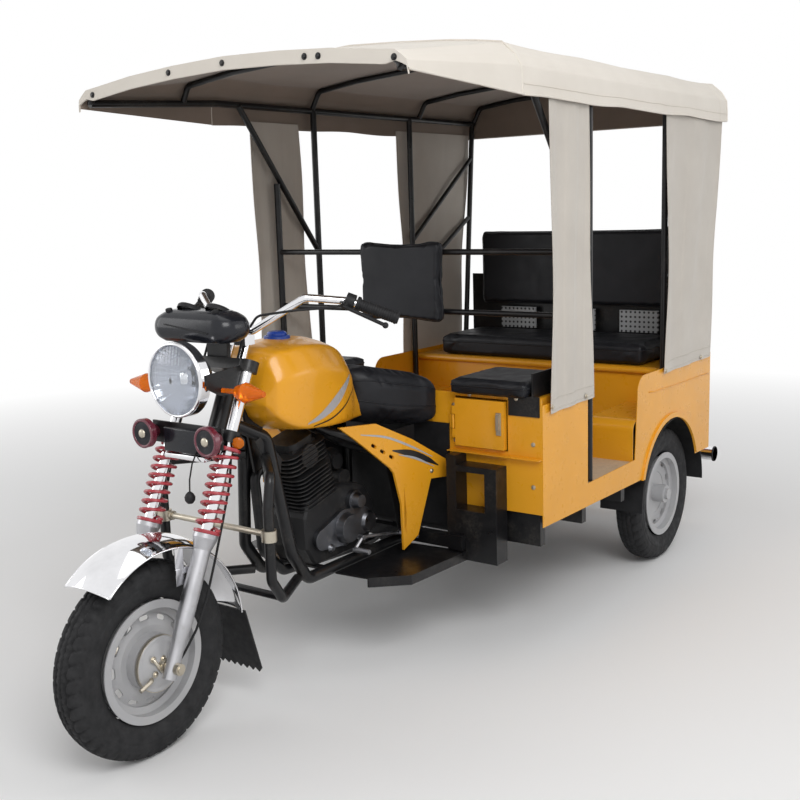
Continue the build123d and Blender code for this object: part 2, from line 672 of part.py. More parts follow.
def lobed(centres, x, thickness):
    """A side cover's plate: discs joined by straight webs, (y, z, radius) each."""
    plate = None
    for (ya, za, ra), (yb, zb, rb) in zip(centres, centres[1:]):
        along = math.atan2(zb - za, yb - ya)
        side = (-math.sin(along), math.cos(along))
        web = [(ya + side[0] * ra, za + side[1] * ra), (yb + side[0] * rb, zb + side[1] * rb),
               (yb - side[0] * rb, zb - side[1] * rb), (ya - side[0] * ra, za - side[1] * ra)]
        piece = side_plate(web, x, thickness)
        plate = piece if plate is None else plate + piece
    for y, z, r in centres:
        plate += rod((x, y, z), (x + thickness, y, z), r)
    return plate


LEFT_COVER = ((666, 440, 34), (776, 452, 60), (870, 452, 46))
CAPS_LEFT = ((776, 452, 50, 26), (836, 528, 27, 24), (896, 444, 36, 10), (700, 404, 14, 10))
RIGHT_COVER = ((690, 430, 46), (790, 470, 74), (880, 440, 40))
CAPS_RIGHT = ((790, 470, 60, 22), (700, 430, 34, 12))


def engine_covers():
    """Cast side covers with their round caps: generator and gears left, clutch right."""
    face = CASE_X + SEAT_GAP
    plate = 16
    left = lobed(LEFT_COVER, face, plate) + rod((face, 836, 528), (face + plate, 836, 528), 34)
    for y, z, radius, proud in CAPS_LEFT:
        left += Solid.make_cone(radius, radius - 6, proud, Plane(origin=(face + plate, y, z), z_dir=(1, 0, 0)))
    right = lobed(RIGHT_COVER, face, plate)
    for y, z, radius, proud in CAPS_RIGHT:
        right += Solid.make_cone(radius, radius - 6, proud, Plane(origin=(face + plate, y, z), z_dir=(1, 0, 0)))
    return [left, mirror(right, about=Plane.YZ)]


EXHAUST_ROUTE = [(-30, 604, 700), (-30, 500, 676), (-34, 524, 430), (-42, 620, 330), (-46, 980, 306),
                 (-90, 1130, 280), (-128, 1290, 280)]


TAIL_PIPE_R = 14
TAIL_PIPE_LENGTH = 60
TAIL_PIPE_Z = 266


def exhaust():
    """Header pipe from the head, under the engine, to a silencer."""
    muffler = rod((-128, 1282, 280), (-128, 1780, 280), 50)
    tail = rod((-128, 1779, TAIL_PIPE_Z), (-128, 1780 + TAIL_PIPE_LENGTH, TAIL_PIPE_Z), TAIL_PIPE_R)
    return pipe(EXHAUST_ROUTE, 16, 34) + muffler + tail - engine()


CAP_Y = 600
TUNNEL_HALF = 36
TANK_SECTIONS = (
    # y, crown z, shoulder x, z, flank x, z, foot x, z, bottom z
    (436, 950, 70, 944, 92, 930, 92, 905, 900),
    (458, 1046, 88, 1036, 126, 972, 124, 868, 858),
    (530, 1074, 110, 1058, 146, 990, 140, 826, 812),
    (634, 1080, 114, 1060, 150, 988, 138, 810, 800),
    (740, 1064, 102, 1040, 138, 972, 128, 800, 792),
    (808, 1022, 84, 1000, 116, 944, 108, 796, 790),
    (850, 950, 70, 936, 92, 900, 96, 796, 790),
    (896, 822, 56, 818, 84, 810, 84, 796, 790),
)


def tank():
    """Fuel tank ruled between creased sections, with a tunnel for the backbone."""
    faces = []
    for y, crown, shoulder_x, shoulder_z, flank_x, flank_z, foot_x, foot_z, bottom in TANK_SECTIONS:
        half = [(shoulder_x, shoulder_z), (flank_x, flank_z), (foot_x, foot_z)]
        outline = [(0, crown), *half, (0, bottom), *[(-x, z) for x, z in reversed(half)]]
        faces.append(make_face(Polyline(*[(x, y, z) for x, z in outline], close=True)))
    tunnel = side_plate([(400, 960), (600, 868), (900, 706), (900, 600), (400, 600)], -TUNNEL_HALF, 2 * TUNNEL_HALF)
    return loft(faces, ruled=True) - pipe(BACKBONE, 24 + SEAT_GAP, 60) - tunnel


def fuel_cap():
    """Round cap on its flange, seated on the tank's crown."""
    foot = Plane(origin=(0, CAP_Y, 1066))
    cap = Solid.make_cylinder(40, 22, foot) + Solid.make_cylinder(30, 30, foot)
    return cap + Solid.make_cone(30, 24, 5, foot.offset(30)) - tank()


SADDLE_SECTIONS = (
    # y, half width, bottom, top
    (866, 74, 800, 946),
    (910, 112, 778, 950),
    (985, 152, 758, 932),
    (1069, 192, 750, 912),
    (SADDLE_Y[1], 226, SADDLE_BOTTOM, 890),
)


def saddle():
    """Driver's saddle: narrow nose behind the tank, wide at the back."""
    faces = []
    for y, half, bottom, top in SADDLE_SECTIONS:
        plane = Plane(origin=(0, y, (bottom + top) / 2), x_dir=(1, 0, 0), z_dir=(0, 1, 0))
        faces.append(plane * RectangleRounded(2 * half, top - bottom, 28))
    return loft(faces, ruled=True) - tank()


SIDE_OUTLINE = [
    (699, 797), (842, 788), (990, 713), (1134, 622), (1143, 560), (1067, 566), (1005, 385),
    (942, 348), (938, 504), (911, 612), (897, 632), (765, 745)]
COVER_FRONT_X = 140
COVER_FLARE = 0.2317
COVER_THICK = 8
COVER_VENTS = ((831, 717), (866, 693), (902, 669))


def cover_x(y):
    """Inner face of the flared side cover at a station along the vehicle."""
    return COVER_FRONT_X + COVER_FLARE * (y - SIDE_OUTLINE[0][0])


def side_cover():
    """Cover under the saddle, flared towards the carriage, with three vents and a slotted leg."""
    front, rear = SIDE_OUTLINE[0][0] - 10, SIDE_OUTLINE[4][0] + 10
    plan = [(cover_x(front), front), (cover_x(rear), rear), (cover_x(rear) + COVER_THICK, rear),
            (cover_x(front) + COVER_THICK, front)]
    slab = extrude(Plane.XY * make_face(Polyline(*plan, close=True)), amount=1000)
    cover = side_plate(SIDE_OUTLINE, 100, 200)
    for y, z in COVER_VENTS:
        place = Plane(origin=(100, y, z), x_dir=(0, 1, 0), z_dir=(1, 0, 0))
        cover -= extrude(place * SlotOverall(24, 11, rotation=-35), amount=200)
    slot = [(950, 560), (958, 470), (954, 400), (948, 430)]
    cover -= side_plate(slot, 100, 200)
    lug = rod((SEAT_RAIL_X + 19 + 2 * SEAT_GAP, 960, 709), (cover_x(960) + 4, 960, 709), 9)
    return (cover & slab) + lug


def skirt():
    """Black guard plates under the saddle, in front of the carriage."""
    outline = [(905, 738), (CROSS_Y + 16, 738), (CROSS_Y + 16, 390), (990, 400), (940, 600)]
    return side_plate(outline, SEAT_RAIL_X + 14 + SEAT_GAP, 5)


MIDDLE_HALF = 258
MIDDLE_Z = (LADDER_Z + 25 + SEAT_GAP, 742)


def middle_plate():
    """Black plate on the front wall behind the saddle, between the post frames."""
    return block((-MIDDLE_HALF, MIDDLE_HALF), (BODY_FRONT - 5, BODY_FRONT - SEAT_GAP), MIDDLE_Z)


BOARD_WALL = 5
BOARD_LIP = 26


def footboard():
    """Foot plate beside the cradle, wider towards the carriage."""
    inner = 96 + FRAME_R + SEAT_GAP
    rear = CROSS_Y - SEAT_GAP
    edge = [(240, 700), (340, 790), (360, rear)]
    face = make_face(Polyline((inner, 690), *edge, (inner, rear - 20), close=True))
    board = extrude(Plane.XY.offset(CRADLE_Z - 14) * face, amount=BOARD_WALL)
    lip = [*edge, *[(x - BOARD_WALL, y) for x, y in reversed(edge)]]
    return board + extrude(Plane.XY.offset(CRADLE_Z - 14 - BOARD_LIP) * make_face(Polyline(*lip, close=True)), amount=BOARD_LIP + 1)


def foot_controls():
    """Rocking gear lever on its shaft at the left, brake pedal on the right."""
    face = CASE_X + 16 + 2 * SEAT_GAP
    arm = face + 28
    gear = rod((face, 826, 410), (arm + 8, 826, 410), 8)
    gear += pipe([(arm, 782, 378), (arm, 826, 410), (arm, 900, 398), (arm, 1030, 372)], 6, 14)
    gear += rod((arm - 4, 786, 380), (arm + 58, 786, 380), 8)
    gear += rod((arm - 4, 1028, 373), (arm + 76, 1028, 373), 8)
    pedal = pipe([(-160, 620, 372), (-160, 760, 380), (-160, 880, 350)], 7, 30)
    pedal += rod((-115 - SEAT_GAP, 880, CRADLE_Z + 10), (-168, 880, CRADLE_Z + 10), 9)
    pedal += block((-190, -130), (596, 640), (366, 378))
    return [gear, pedal]


write("main_frame", main_frame())
write("load_frame", load_frame())
write("post_frames", *mirrored(post_frame()))
write("crash_bar", crash_bar())
write("crash_clamps", crash_clamps())
write("engine", engine())
write("engine_covers", *engine_covers())
write("exhaust", exhaust())
write("fuel_tank", tank())
write("fuel_cap", fuel_cap())
write("saddle", saddle())
write("side_covers", *mirrored(side_cover()))
write("seat_skirt", *mirrored(skirt()), middle_plate())
write("footboards", *mirrored(footboard()))
write("foot_controls", *foot_controls())


# Carriage

INSIDE = BODY_HALF - PANEL
BOX_X = (262, INSIDE - 13)
BOX_FOOT = FLOOR_TOP
BOX_TOP = JUMP_Z[0] - SEAT_GAP
WELL_X = 422
WELL_FRONT = 1850
WELL_TOP = 655


def front_wall():
    """Folded front wall with the toolboxes behind it and a door opening on the left."""
    whole = block((-INSIDE, INSIDE), (BODY_FRONT, BODY_FRONT + PANEL), (470, BOX_TOP))
    for x in ((-INSIDE, -MIDDLE_HALF - SEAT_GAP), (MIDDLE_HALF + SEAT_GAP, INSIDE)):
        whole += block(x, (BODY_FRONT - FOLD, BODY_FRONT), (LEDGE_Z - PANEL, LEDGE_Z))
    for s in (1, -1):
        low, high = sorted((s * BOX_X[0], s * BOX_X[1]))
        room = block((low, high), (BODY_FRONT, BODY_FRONT + BOX_DEPTH), (BOX_FOOT, BOX_TOP))
        whole += room - block((low + PANEL, high - PANEL), (BODY_FRONT - 1, BODY_FRONT + BOX_DEPTH - PANEL),
                              (BOX_FOOT + PANEL, BOX_TOP - PANEL))
        whole += block((low, high), (BODY_FRONT, BODY_FRONT + PANEL), (BOX_FOOT, BOX_TOP))
    whole -= block(DOOR_X, (BODY_FRONT - 1, BODY_FRONT + PANEL + 1), DOOR_Z)
    return whole - hinge_room() + hinge_fixed()


HINGE_X = DOOR_X[0] - 5
HINGE_Y = BODY_FRONT - 9
KNUCKLES = (  # from, to, moves with the door
    (700, 728, True), (730, 776, False), (778, 806, True))


def hinge_room():
    return block((HINGE_X - 9, HINGE_X + 9), (HINGE_Y - 9, BODY_FRONT), (KNUCKLES[0][0] - 5, KNUCKLES[-1][1] + 5))


def hinge_fixed():
    pin = rod((HINGE_X, HINGE_Y, KNUCKLES[0][0]), (HINGE_X, HINGE_Y, KNUCKLES[-1][1]), 3)
    low, high, _ = KNUCKLES[1]
    barrel = rod((HINGE_X, HINGE_Y, low), (HINGE_X, HINGE_Y, high), HINGE_R)
    leaf = block((HINGE_X - 16, HINGE_X - 2), (HINGE_Y + 2, BODY_FRONT), (low, high))
    return pin + barrel + leaf


def toolbox_door():
    """Folded door leaf with its hinge knuckles."""
    x = (DOOR_X[0] + DOOR_GAP, DOOR_X[1] - DOOR_GAP)
    z = (DOOR_Z[0] + DOOR_GAP, DOOR_Z[1] - DOOR_GAP)
    front = BODY_FRONT + PANEL - DOOR_THICK
    leaf = block(x, (front, BODY_FRONT + PANEL), z)
    leaf -= block((x[0] + PANEL, x[1] - PANEL), (front + PANEL, BODY_REAR), (z[0] + PANEL, z[1] - PANEL))
    for low, high, moves in KNUCKLES:
        if moves:
            leaf += rod((HINGE_X, HINGE_Y, low), (HINGE_X, HINGE_Y, high), HINGE_R)
            leaf += block((HINGE_X, x[0] + 1), (HINGE_Y - HINGE_R, HINGE_Y - 3), (low, high))
    return leaf - rod((HINGE_X, HINGE_Y, 600), (HINGE_X, HINGE_Y, 900), 3 + SHAFT_FIT)


def latch():
    """Hasp latch on the door's free side."""
    x = DOOR_X[1] - 24
    front = BODY_FRONT + PANEL - DOOR_THICK
    plate = block((x - 9, x + 9), (front - 4, front), (722, 796))
    return plate + block((x - 6, x + 6), (front - 12, front - 2), (740, 790))


def carriage_side(inner):
    """One side: corner panel, sill and rear quarter with its flared wheel arch."""
    rise, turn = DOOR_REAR + 20, DOOR_REAR + 80
    outline = [
        Line((BODY_FRONT, BODY_BOTTOM_FRONT), (BODY_FRONT, CORNER_TOP)),
        Line((BODY_FRONT, CORNER_TOP), (DOOR_FRONT, CORNER_TOP)),
        Line((DOOR_FRONT, CORNER_TOP), (DOOR_FRONT, SILL_TOP)),
        Line((DOOR_FRONT, SILL_TOP), (DOOR_REAR, SILL_TOP)),
        Line((DOOR_REAR, SILL_TOP), (rise, BODY_TOP - 70)),
        ThreePointArc((rise, BODY_TOP - 70), (rise + 18, BODY_TOP - 18), (turn, BODY_TOP)),
        Line((turn, BODY_TOP), (BODY_REAR, BODY_TOP)),
        Line((BODY_REAR, BODY_TOP), (BODY_REAR, BODY_BOTTOM_REAR)),
        Line((BODY_REAR, BODY_BOTTOM_REAR), (BODY_FRONT, BODY_BOTTOM_FRONT)),
    ]
    skin = extrude(Plane.YZ.offset(inner) * make_face(Wire(outline)), amount=PANEL)
    arch = Plane(origin=(inner - 50, ARCH_Y, ARCH_Z), z_dir=(1, 0, 0))
    hole = Solid.make_cylinder(ARCH_R, 100, arch)
    flare = Solid.make_cylinder(ARCH_R + ARCH_FLARE, 8, arch.offset(50 + PANEL - 1))
    flare &= block((inner - 60, inner + 60), (BODY_FRONT, BODY_REAR), (BODY_BOTTOM_REAR + 10, BODY_TOP))
    return skin + flare - hole


def rear_wall():
    return block((-INSIDE, INSIDE), (BODY_REAR - PANEL, BODY_REAR), (BODY_BOTTOM_REAR, BODY_TOP))


def floor():
    plate = block((-INSIDE, INSIDE), (BODY_FRONT + PANEL, BENCH_FRONT), (FLOOR_TOP - FLOOR_THICK, FLOOR_TOP))
    wells = block((WELL_X, BODY_HALF), (WELL_FRONT, BODY_REAR), (300, 700))
    return plate - wells - mirror(wells, about=Plane.YZ)


def floor_mat():
    """Mat on the floor between the toolboxes and the bench, inside the plate's black edge."""
    side = WELL_X - MAT_EDGE
    front, rear = BODY_FRONT + BOX_DEPTH + MAT_EDGE, BENCH_FRONT - MAT_EDGE
    return block((-side, side), (front, rear), (FLOOR_TOP, FLOOR_TOP + MAT_THICK))


def wheel_box():
    """Box over the wheel inside the carriage, open below and towards the arch."""
    low = FLOOR_TOP - FLOOR_THICK
    shell = block((WELL_X, INSIDE), (WELL_FRONT, BODY_REAR - PANEL), (low, WELL_TOP))
    shell = fillet(shell.edges().filter_by(Axis.X).sort_by(Axis.Y)[:2].sort_by(Axis.Z)[-1:], 40)
    room = block((WELL_X + PANEL, INSIDE + 9), (WELL_FRONT + PANEL, BODY_REAR + 9), (300, WELL_TOP - PANEL))
    room = fillet(room.edges().filter_by(Axis.X).sort_by(Axis.Y)[:2].sort_by(Axis.Z)[-1:], 40 - PANEL)
    return shell - room


def bench_base():
    """Front and top panels of the bench box, with its rounded front rail."""
    front = block((-WELL_X, WELL_X), (BENCH_FRONT, BENCH_FRONT + PANEL), (FLOOR_TOP - FLOOR_THICK, BENCH_TOP))
    front += block((-INSIDE, INSIDE), (BENCH_FRONT, BENCH_FRONT + PANEL), (WELL_TOP, BENCH_TOP))
    top = block((-INSIDE, INSIDE), (BENCH_FRONT, BODY_REAR - PANEL), (BENCH_TOP - PANEL, BENCH_TOP))
    rail = rod((-INSIDE, BENCH_FRONT - 6, BENCH_TOP - 14), (INSIDE, BENCH_FRONT - 6, BENCH_TOP - 14), 13)
    return front + top + rail


def cushion(x, y, z, corner):
    return fillet(block(x, y, z).edges(), corner)


def jump_bracket():
    """Black folded bracket at the pad's outer end, bolted to the front wall."""
    front = (BODY_FRONT - 4, BODY_FRONT - SEAT_GAP)
    whole = block((DOOR_X[1] + DOOR_GAP, 600), front, (790, JUMP_Z[0] + 6))
    return whole + block((JUMP_X[1] + SEAT_GAP, POST_X - POST_R - SEAT_GAP), (BODY_FRONT - 4, 1330),
                         (BOX_TOP + SEAT_GAP, 930))


def backrest_panels():
    """Row of pressed panels between the bench cushion and its backrest."""
    low = BENCH_TOP + CUSHION_THICK + SEAT_GAP
    panels = []
    for x in (-300, 0, 300):
        panels.append(block((x - 90, x + 90), (BODY_REAR - 36, BODY_REAR - 24), (low, BACK_BOTTOM - SEAT_GAP)))
    return panels


write("front_wall", front_wall())
write("toolbox_door", toolbox_door())
write("toolbox_latch", latch())
left_side = carriage_side(INSIDE)
write("side_panel_left", left_side)
write("side_panel_right", mirror(left_side, about=Plane.YZ))
write("rear_wall", rear_wall())
write("floor", floor(), floor_mat())
write("wheel_boxes", *mirrored(wheel_box()))
write("bench_base", bench_base())
bench_x = (-BENCH_HALF, BENCH_HALF)
write("bench_cushion", cushion(bench_x, (BENCH_FRONT - 12, BODY_REAR - BACK_THICK - 4),
                               (BENCH_TOP + SEAT_GAP, BENCH_TOP + CUSHION_THICK), 20))
write("bench_backrest", cushion(bench_x, (BODY_REAR - BACK_THICK, BODY_REAR), (BACK_BOTTOM, BACK_TOP), 18))
write("bench_panels", *backrest_panels())
write("jump_seat_pads", *mirrored(cushion(JUMP_X, (BODY_FRONT - 46, JUMP_Y[1]), JUMP_Z, 14) - jump_bracket()))
write("jump_seat_brackets", *mirrored(jump_bracket()))


# Canopy

ROOF = (  # half width and height of the cover's outer corners, from the hem to the crown
    (632, HEM_Z), (626, 1850), (562, 1924), (385, 1946), (0, 1972))
VISOR_FRONT = ((632, 1794), (628, 1814), (592, 1842), (300, 1876), (0, 1884))
BOW_DROP = BOW_R + COVER_WALL + 2


def strip(profile, wall):
    """Closed outline of a sheet that follows the profile across the vehicle."""
    half = list(profile)
    outer = half + [(-x, z) for x, z in reversed(half[:-1])]
    inner = []
    for x, z in outer:
        side = math.copysign(1, x) if x else 0
        steep = abs(x) > 600
        inner.append((x - side * wall, z if steep else z - wall))
    return make_face(Polyline(*outer, *reversed(inner), close=True))


def across(y):
    """Drawing plane across the vehicle at y, with X to the left side and Y up."""
    return Plane(origin=(0, y, 0), x_dir=(1, 0, 0), z_dir=(0, -1, 0))


def canopy_cover():
    """Draped cover over the passengers, with its rear flap."""
    cover = extrude(across(COVER_FRONT) * strip(ROOF, COVER_WALL), amount=COVER_FRONT - ROOF_REAR)
    half = list(ROOF)
    gable = make_face(Polyline(*half, *[(-x, z) for x, z in reversed(half[:-1])], close=True))
    return cover + extrude(across(ROOF_REAR) * gable, amount=COVER_WALL)


def visor():
    """Stiff front roof sheet with its fascia band, over the driver."""
    sheet = loft([across(ROOF_FRONT) * strip(VISOR_FRONT, COVER_WALL),
                  across(COVER_FRONT - SEAT_GAP) * strip(ROOF, COVER_WALL)], ruled=True)
    low = [(x, z - 42) for x, z in VISOR_FRONT[1:]]
    high = list(VISOR_FRONT[1:])
    outline = high + [(-x, z) for x, z in reversed(high[:-1])]
    outline += [(-x, z) for x, z in low[:-1]] + [(x, z) for x, z in reversed(low)]
    band = extrude(across(ROOF_FRONT) * make_face(Polyline(*outline, close=True)), amount=COVER_WALL)
    return sheet + band


def bow(y, rail_z, profile):
    """Roof bow between the side rails, under the cover's profile."""
    half = [(RAIL_X, rail_z)] + [(x - 6, z - BOW_DROP) for x, z in profile[2:]]
    route = half + [(-x, z) for x, z in reversed(half[:-1])]
    return pipe([(x, y, z) for x, z in route], BOW_R, 30)


def canopy_side():
    """One side's rail, posts and braces."""
    front, rear = ROOF_FRONT + 12, ROOF_REAR - 10
    side = pipe([(RAIL_X, front, FRONT_RAIL_Z), (RAIL_X, COVER_FRONT, RAIL_Z), (RAIL_X, rear, RAIL_Z)], POST_R, 200)
    for y, foot, lean in ((POST_2_Y, FLOOR_TOP + SEAT_GAP, 0), (POST_3_Y, WELL_TOP + SEAT_GAP, 0),
                          (POST_4_Y, BENCH_TOP + 2 * POST_R, POST_LEAN)):
        side += rod((POST_X, y, foot), (POST_X, y + lean, RAIL_Z), POST_R)
    side += rod((POST_X, POST_1_Y, BOX_TOP), (POST_X, POST_1_Y, 1560), POST_R)
    side += rod((POST_X, POST_4_Y, BENCH_TOP + SEAT_GAP), (POST_X, POST_4_Y, BENCH_TOP + 2 * POST_R + 4), POST_R + 4)
    side += rod((POST_X, 1104, RAIL_Z - 3), (POST_X, POST_2_Y - 3, 1298), POST_R - 1)
    side += rod((POST_X, POST_4_Y + 76, 1680), (POST_X, POST_3_Y + 2, 1310), BOW_R)
    return side + rod((POST_X, POST_4_Y + 42, 1400), (POST_X, POST_3_Y + 2, 1130), BOW_R)


def canopy_frame():
    """Bows and cross bars between the two sides."""
    side = canopy_side()
    whole = side + mirror(side, about=Plane.YZ)
    whole += bow(ROOF_FRONT + 16, FRONT_RAIL_Z, VISOR_FRONT) + bow(840, 1826, ROOF_MIDDLE)
    for y in (1520, 2250, ROOF_REAR - 14):
        whole += bow(y, RAIL_Z, ROOF)
    for z in (1304, 1100):
        whole += rod((-POST_X, POST_1_Y, z), (POST_X, POST_1_Y, z), BOW_R)
    return whole


def between(profile_a, profile_b, share):
    """Profile part of the way from one to the other, for the sloping visor."""
    return tuple((a[0] + (b[0] - a[0]) * share, a[1] + (b[1] - a[1]) * share) for a, b in zip(profile_a, profile_b))


ROOF_MIDDLE = between(VISOR_FRONT, ROOF, (840 - ROOF_FRONT) / (COVER_FRONT - ROOF_FRONT))
CURTAINS = (  # outline of each curtain as (y, z), bottom first
    ((1184, CURTAIN_FOOT), (1498, CURTAIN_FOOT + 14), (1462, 1300), (1456, 1782), (1184, 1782)),
    ((2112, CURTAIN_FOOT), (2606, CURTAIN_FOOT), (2700, 1782), (2104, 1782), (2140, 1300)),
)


def curtain(outline):
    return side_plate(outline, BODY_HALF + SEAT_GAP, CURTAIN_WALL)


def driver_backrest():
    back = POST_1_Y - BOW_R - SEAT_GAP
    return cushion((-DRIVER_BACK_HALF, DRIVER_BACK_HALF), (back - 46, back), DRIVER_BACK_Z, 16)


write("canopy_frame", canopy_frame())
write("canopy_cover", canopy_cover())
write("visor", visor())
write("curtains", *[side for outline in CURTAINS for side in mirrored(curtain(outline))])
write("driver_backrest", driver_backrest())


# Rear axle and what hangs behind

def rear_axle():
    """Axle housing on two leaf springs, with its brake plates."""
    end = HALF_TRACK - REAR_DRUM_DEPTH - RUNNING_GAP
    whole = rod((-end, WHEELBASE, TYRE_R), (end, WHEELBASE, TYRE_R), AXLE_TUBE_R)
    whole += rod((-70, WHEELBASE, TYRE_R), (70, WHEELBASE, TYRE_R), 88)
    whole += rod((0, WHEELBASE - 150, TYRE_R), (0, WHEELBASE, TYRE_R), 46)
    for s in (1, -1):
        whole += rod((s * (end - 10), WHEELBASE, TYRE_R), (s * end, WHEELBASE, TYRE_R), REAR_DRUM_R)
        bore = HALF_TRACK - REAR_DRUM_DEPTH - STUB_LENGTH - 4
        whole -= rod((s * bore, WHEELBASE, TYRE_R), (s * (end + 1), WHEELBASE, TYRE_R), STUB_R + SHAFT_FIT)
        low, high = sorted((s * 300, s * 350))
        for i, reach in enumerate(LEAF_REACHES):
            top = LEAF_TOP - LEAF_THICK * i
            whole += block((low, high), (WHEELBASE - reach, WHEELBASE + reach), (top - LEAF_THICK, top))
    return whole


GUARD_SHEET_R = 320


def wheel_guard():
    """Black inner mudguard over the rear wheel, fixed to the wheel box."""
    section = make_face(Polyline((WELL_X + PANEL + SEAT_GAP, GUARD_SHEET_R), (600, GUARD_SHEET_R),
                                 (600, GUARD_SHEET_R - 4), (WELL_X + PANEL + SEAT_GAP, GUARD_SHEET_R - 4), close=True))
    face = Plane(origin=(0, WHEELBASE, TYRE_R), x_dir=(1, 0, 0), z_dir=(0, 0, -1)) * section
    return revolve(face, axis=Axis((0, WHEELBASE, TYRE_R), (-1, 0, 0)), revolution_arc=180)


def rear_guard():
    """Low board behind the bench's backrest, standing on the rear wall."""
    board = block((40 - BODY_HALF, BODY_HALF - 40), (BODY_REAR + SEAT_GAP, BODY_REAR + 6), (BODY_TOP + SEAT_GAP, 1135))
    return board + block((40 - BODY_HALF, BODY_HALF - 40), (BODY_REAR - PANEL, BODY_REAR + 6), (BODY_TOP + SEAT_GAP, 821))


def tail_lamp():
    return block((440, 540), (BODY_REAR + SEAT_GAP, BODY_REAR + 30), (560, 640))


write("rear_axle", rear_axle())
write("rear_bumper", bumper())
write("tail_lamps", *mirrored(tail_lamp()))
write("wheel_guards", *mirrored(wheel_guard()))
write("rear_guard", rear_guard())
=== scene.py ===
"""Looks of the passenger motor tricycle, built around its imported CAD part."""

import json
import math

import bmesh
import bpy
import numpy as np
from mathutils import Matrix, Vector, noise
from mathutils.bvhtree import BVHTree

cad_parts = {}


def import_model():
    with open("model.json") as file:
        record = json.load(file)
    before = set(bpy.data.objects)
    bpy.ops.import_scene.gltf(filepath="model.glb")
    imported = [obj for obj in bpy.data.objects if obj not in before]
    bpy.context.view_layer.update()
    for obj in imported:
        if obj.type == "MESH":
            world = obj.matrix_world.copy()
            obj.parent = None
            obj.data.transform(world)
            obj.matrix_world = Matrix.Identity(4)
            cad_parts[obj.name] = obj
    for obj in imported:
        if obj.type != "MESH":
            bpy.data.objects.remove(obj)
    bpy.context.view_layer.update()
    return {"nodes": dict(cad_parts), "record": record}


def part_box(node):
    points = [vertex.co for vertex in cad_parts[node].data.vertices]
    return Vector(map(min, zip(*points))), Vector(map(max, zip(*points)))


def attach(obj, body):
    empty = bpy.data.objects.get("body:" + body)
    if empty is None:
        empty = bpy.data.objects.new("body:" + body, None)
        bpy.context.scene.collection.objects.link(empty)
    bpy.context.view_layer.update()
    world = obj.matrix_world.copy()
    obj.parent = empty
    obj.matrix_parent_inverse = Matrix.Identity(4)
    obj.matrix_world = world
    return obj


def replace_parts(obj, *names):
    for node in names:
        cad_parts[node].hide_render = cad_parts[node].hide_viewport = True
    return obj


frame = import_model()
NODES = frame["nodes"]
RECORD = frame["record"]
FRONT_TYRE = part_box("front_tyre")
AXLE_Y = (FRONT_TYRE[0].y + FRONT_TYRE[1].y) / 2
TYRE_R = (FRONT_TYRE[1].z - FRONT_TYRE[0].z) / 2
FLOOR_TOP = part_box("floor")[1].z
RAKE = math.radians(24.8)
LEG_X = 114


def at(x, y, z):
    """A point in the drawing frame, millimetres from the front axle, in the row frame."""
    return Vector((x / 1000, y / 1000 + AXLE_Y, z / 1000))


def leg_at(along, x=0, offset=0):
    """A point on the fork's slope, as the CAD source has it."""
    y = along * math.sin(RAKE) + offset * math.cos(RAKE)
    z = TYRE_R * 1000 + along * math.cos(RAKE) - offset * math.sin(RAKE)
    return at(x, y, z)


# Materials

class Nodes:
    """Adds nodes to a material's or the world's tree."""

    def __init__(self, owner):
        owner.use_nodes = True
        self.tree = owner.node_tree

    def first(self, kind):
        return next(n for n in self.tree.nodes if n.type == kind)

    def node(self, kind, inputs=None, **settings):
        made = self.tree.nodes.new(kind)
        for key, value in settings.items():
            setattr(made, key, value)
        for key, value in (inputs or {}).items():
            self.feed(made.inputs[key], value)
        return made

    def feed(self, socket, value):
        if isinstance(value, bpy.types.NodeSocket):
            self.tree.links.new(value, socket)
        else:
            socket.default_value = value

    def ramp(self, value, low, high, start=0.0, end=1.0):
        return self.node("ShaderNodeMapRange", {"Value": value, "From Min": low, "From Max": high,
                                                "To Min": start, "To Max": end}, clamp=True).outputs[0]

    def mix(self, factor, a, b):
        made = self.node("ShaderNodeMix", data_type="RGBA")
        self.feed(made.inputs[0], factor)
        for socket, value in ((made.inputs[6], a), (made.inputs[7], b)):
            self.feed(socket, (*value, 1) if isinstance(value, tuple) and len(value) == 3 else value)
        return made.outputs[2]

    def math(self, operation, a, b=0.0, c=0.0):
        made = self.node("ShaderNodeMath", operation=operation)
        for socket, value in zip(made.inputs, (a, b, c)):
            self.feed(socket, value)
        return made.outputs[0]

    def seen(self):
        """1 for rays of the eye, of reflections and through clear plastic."""
        rays = self.node("ShaderNodeLightPath").outputs
        shown = self.math("MAXIMUM", rays["Is Camera Ray"], rays["Is Glossy Ray"])
        return self.math("MAXIMUM", shown, rays["Is Transmission Ray"])


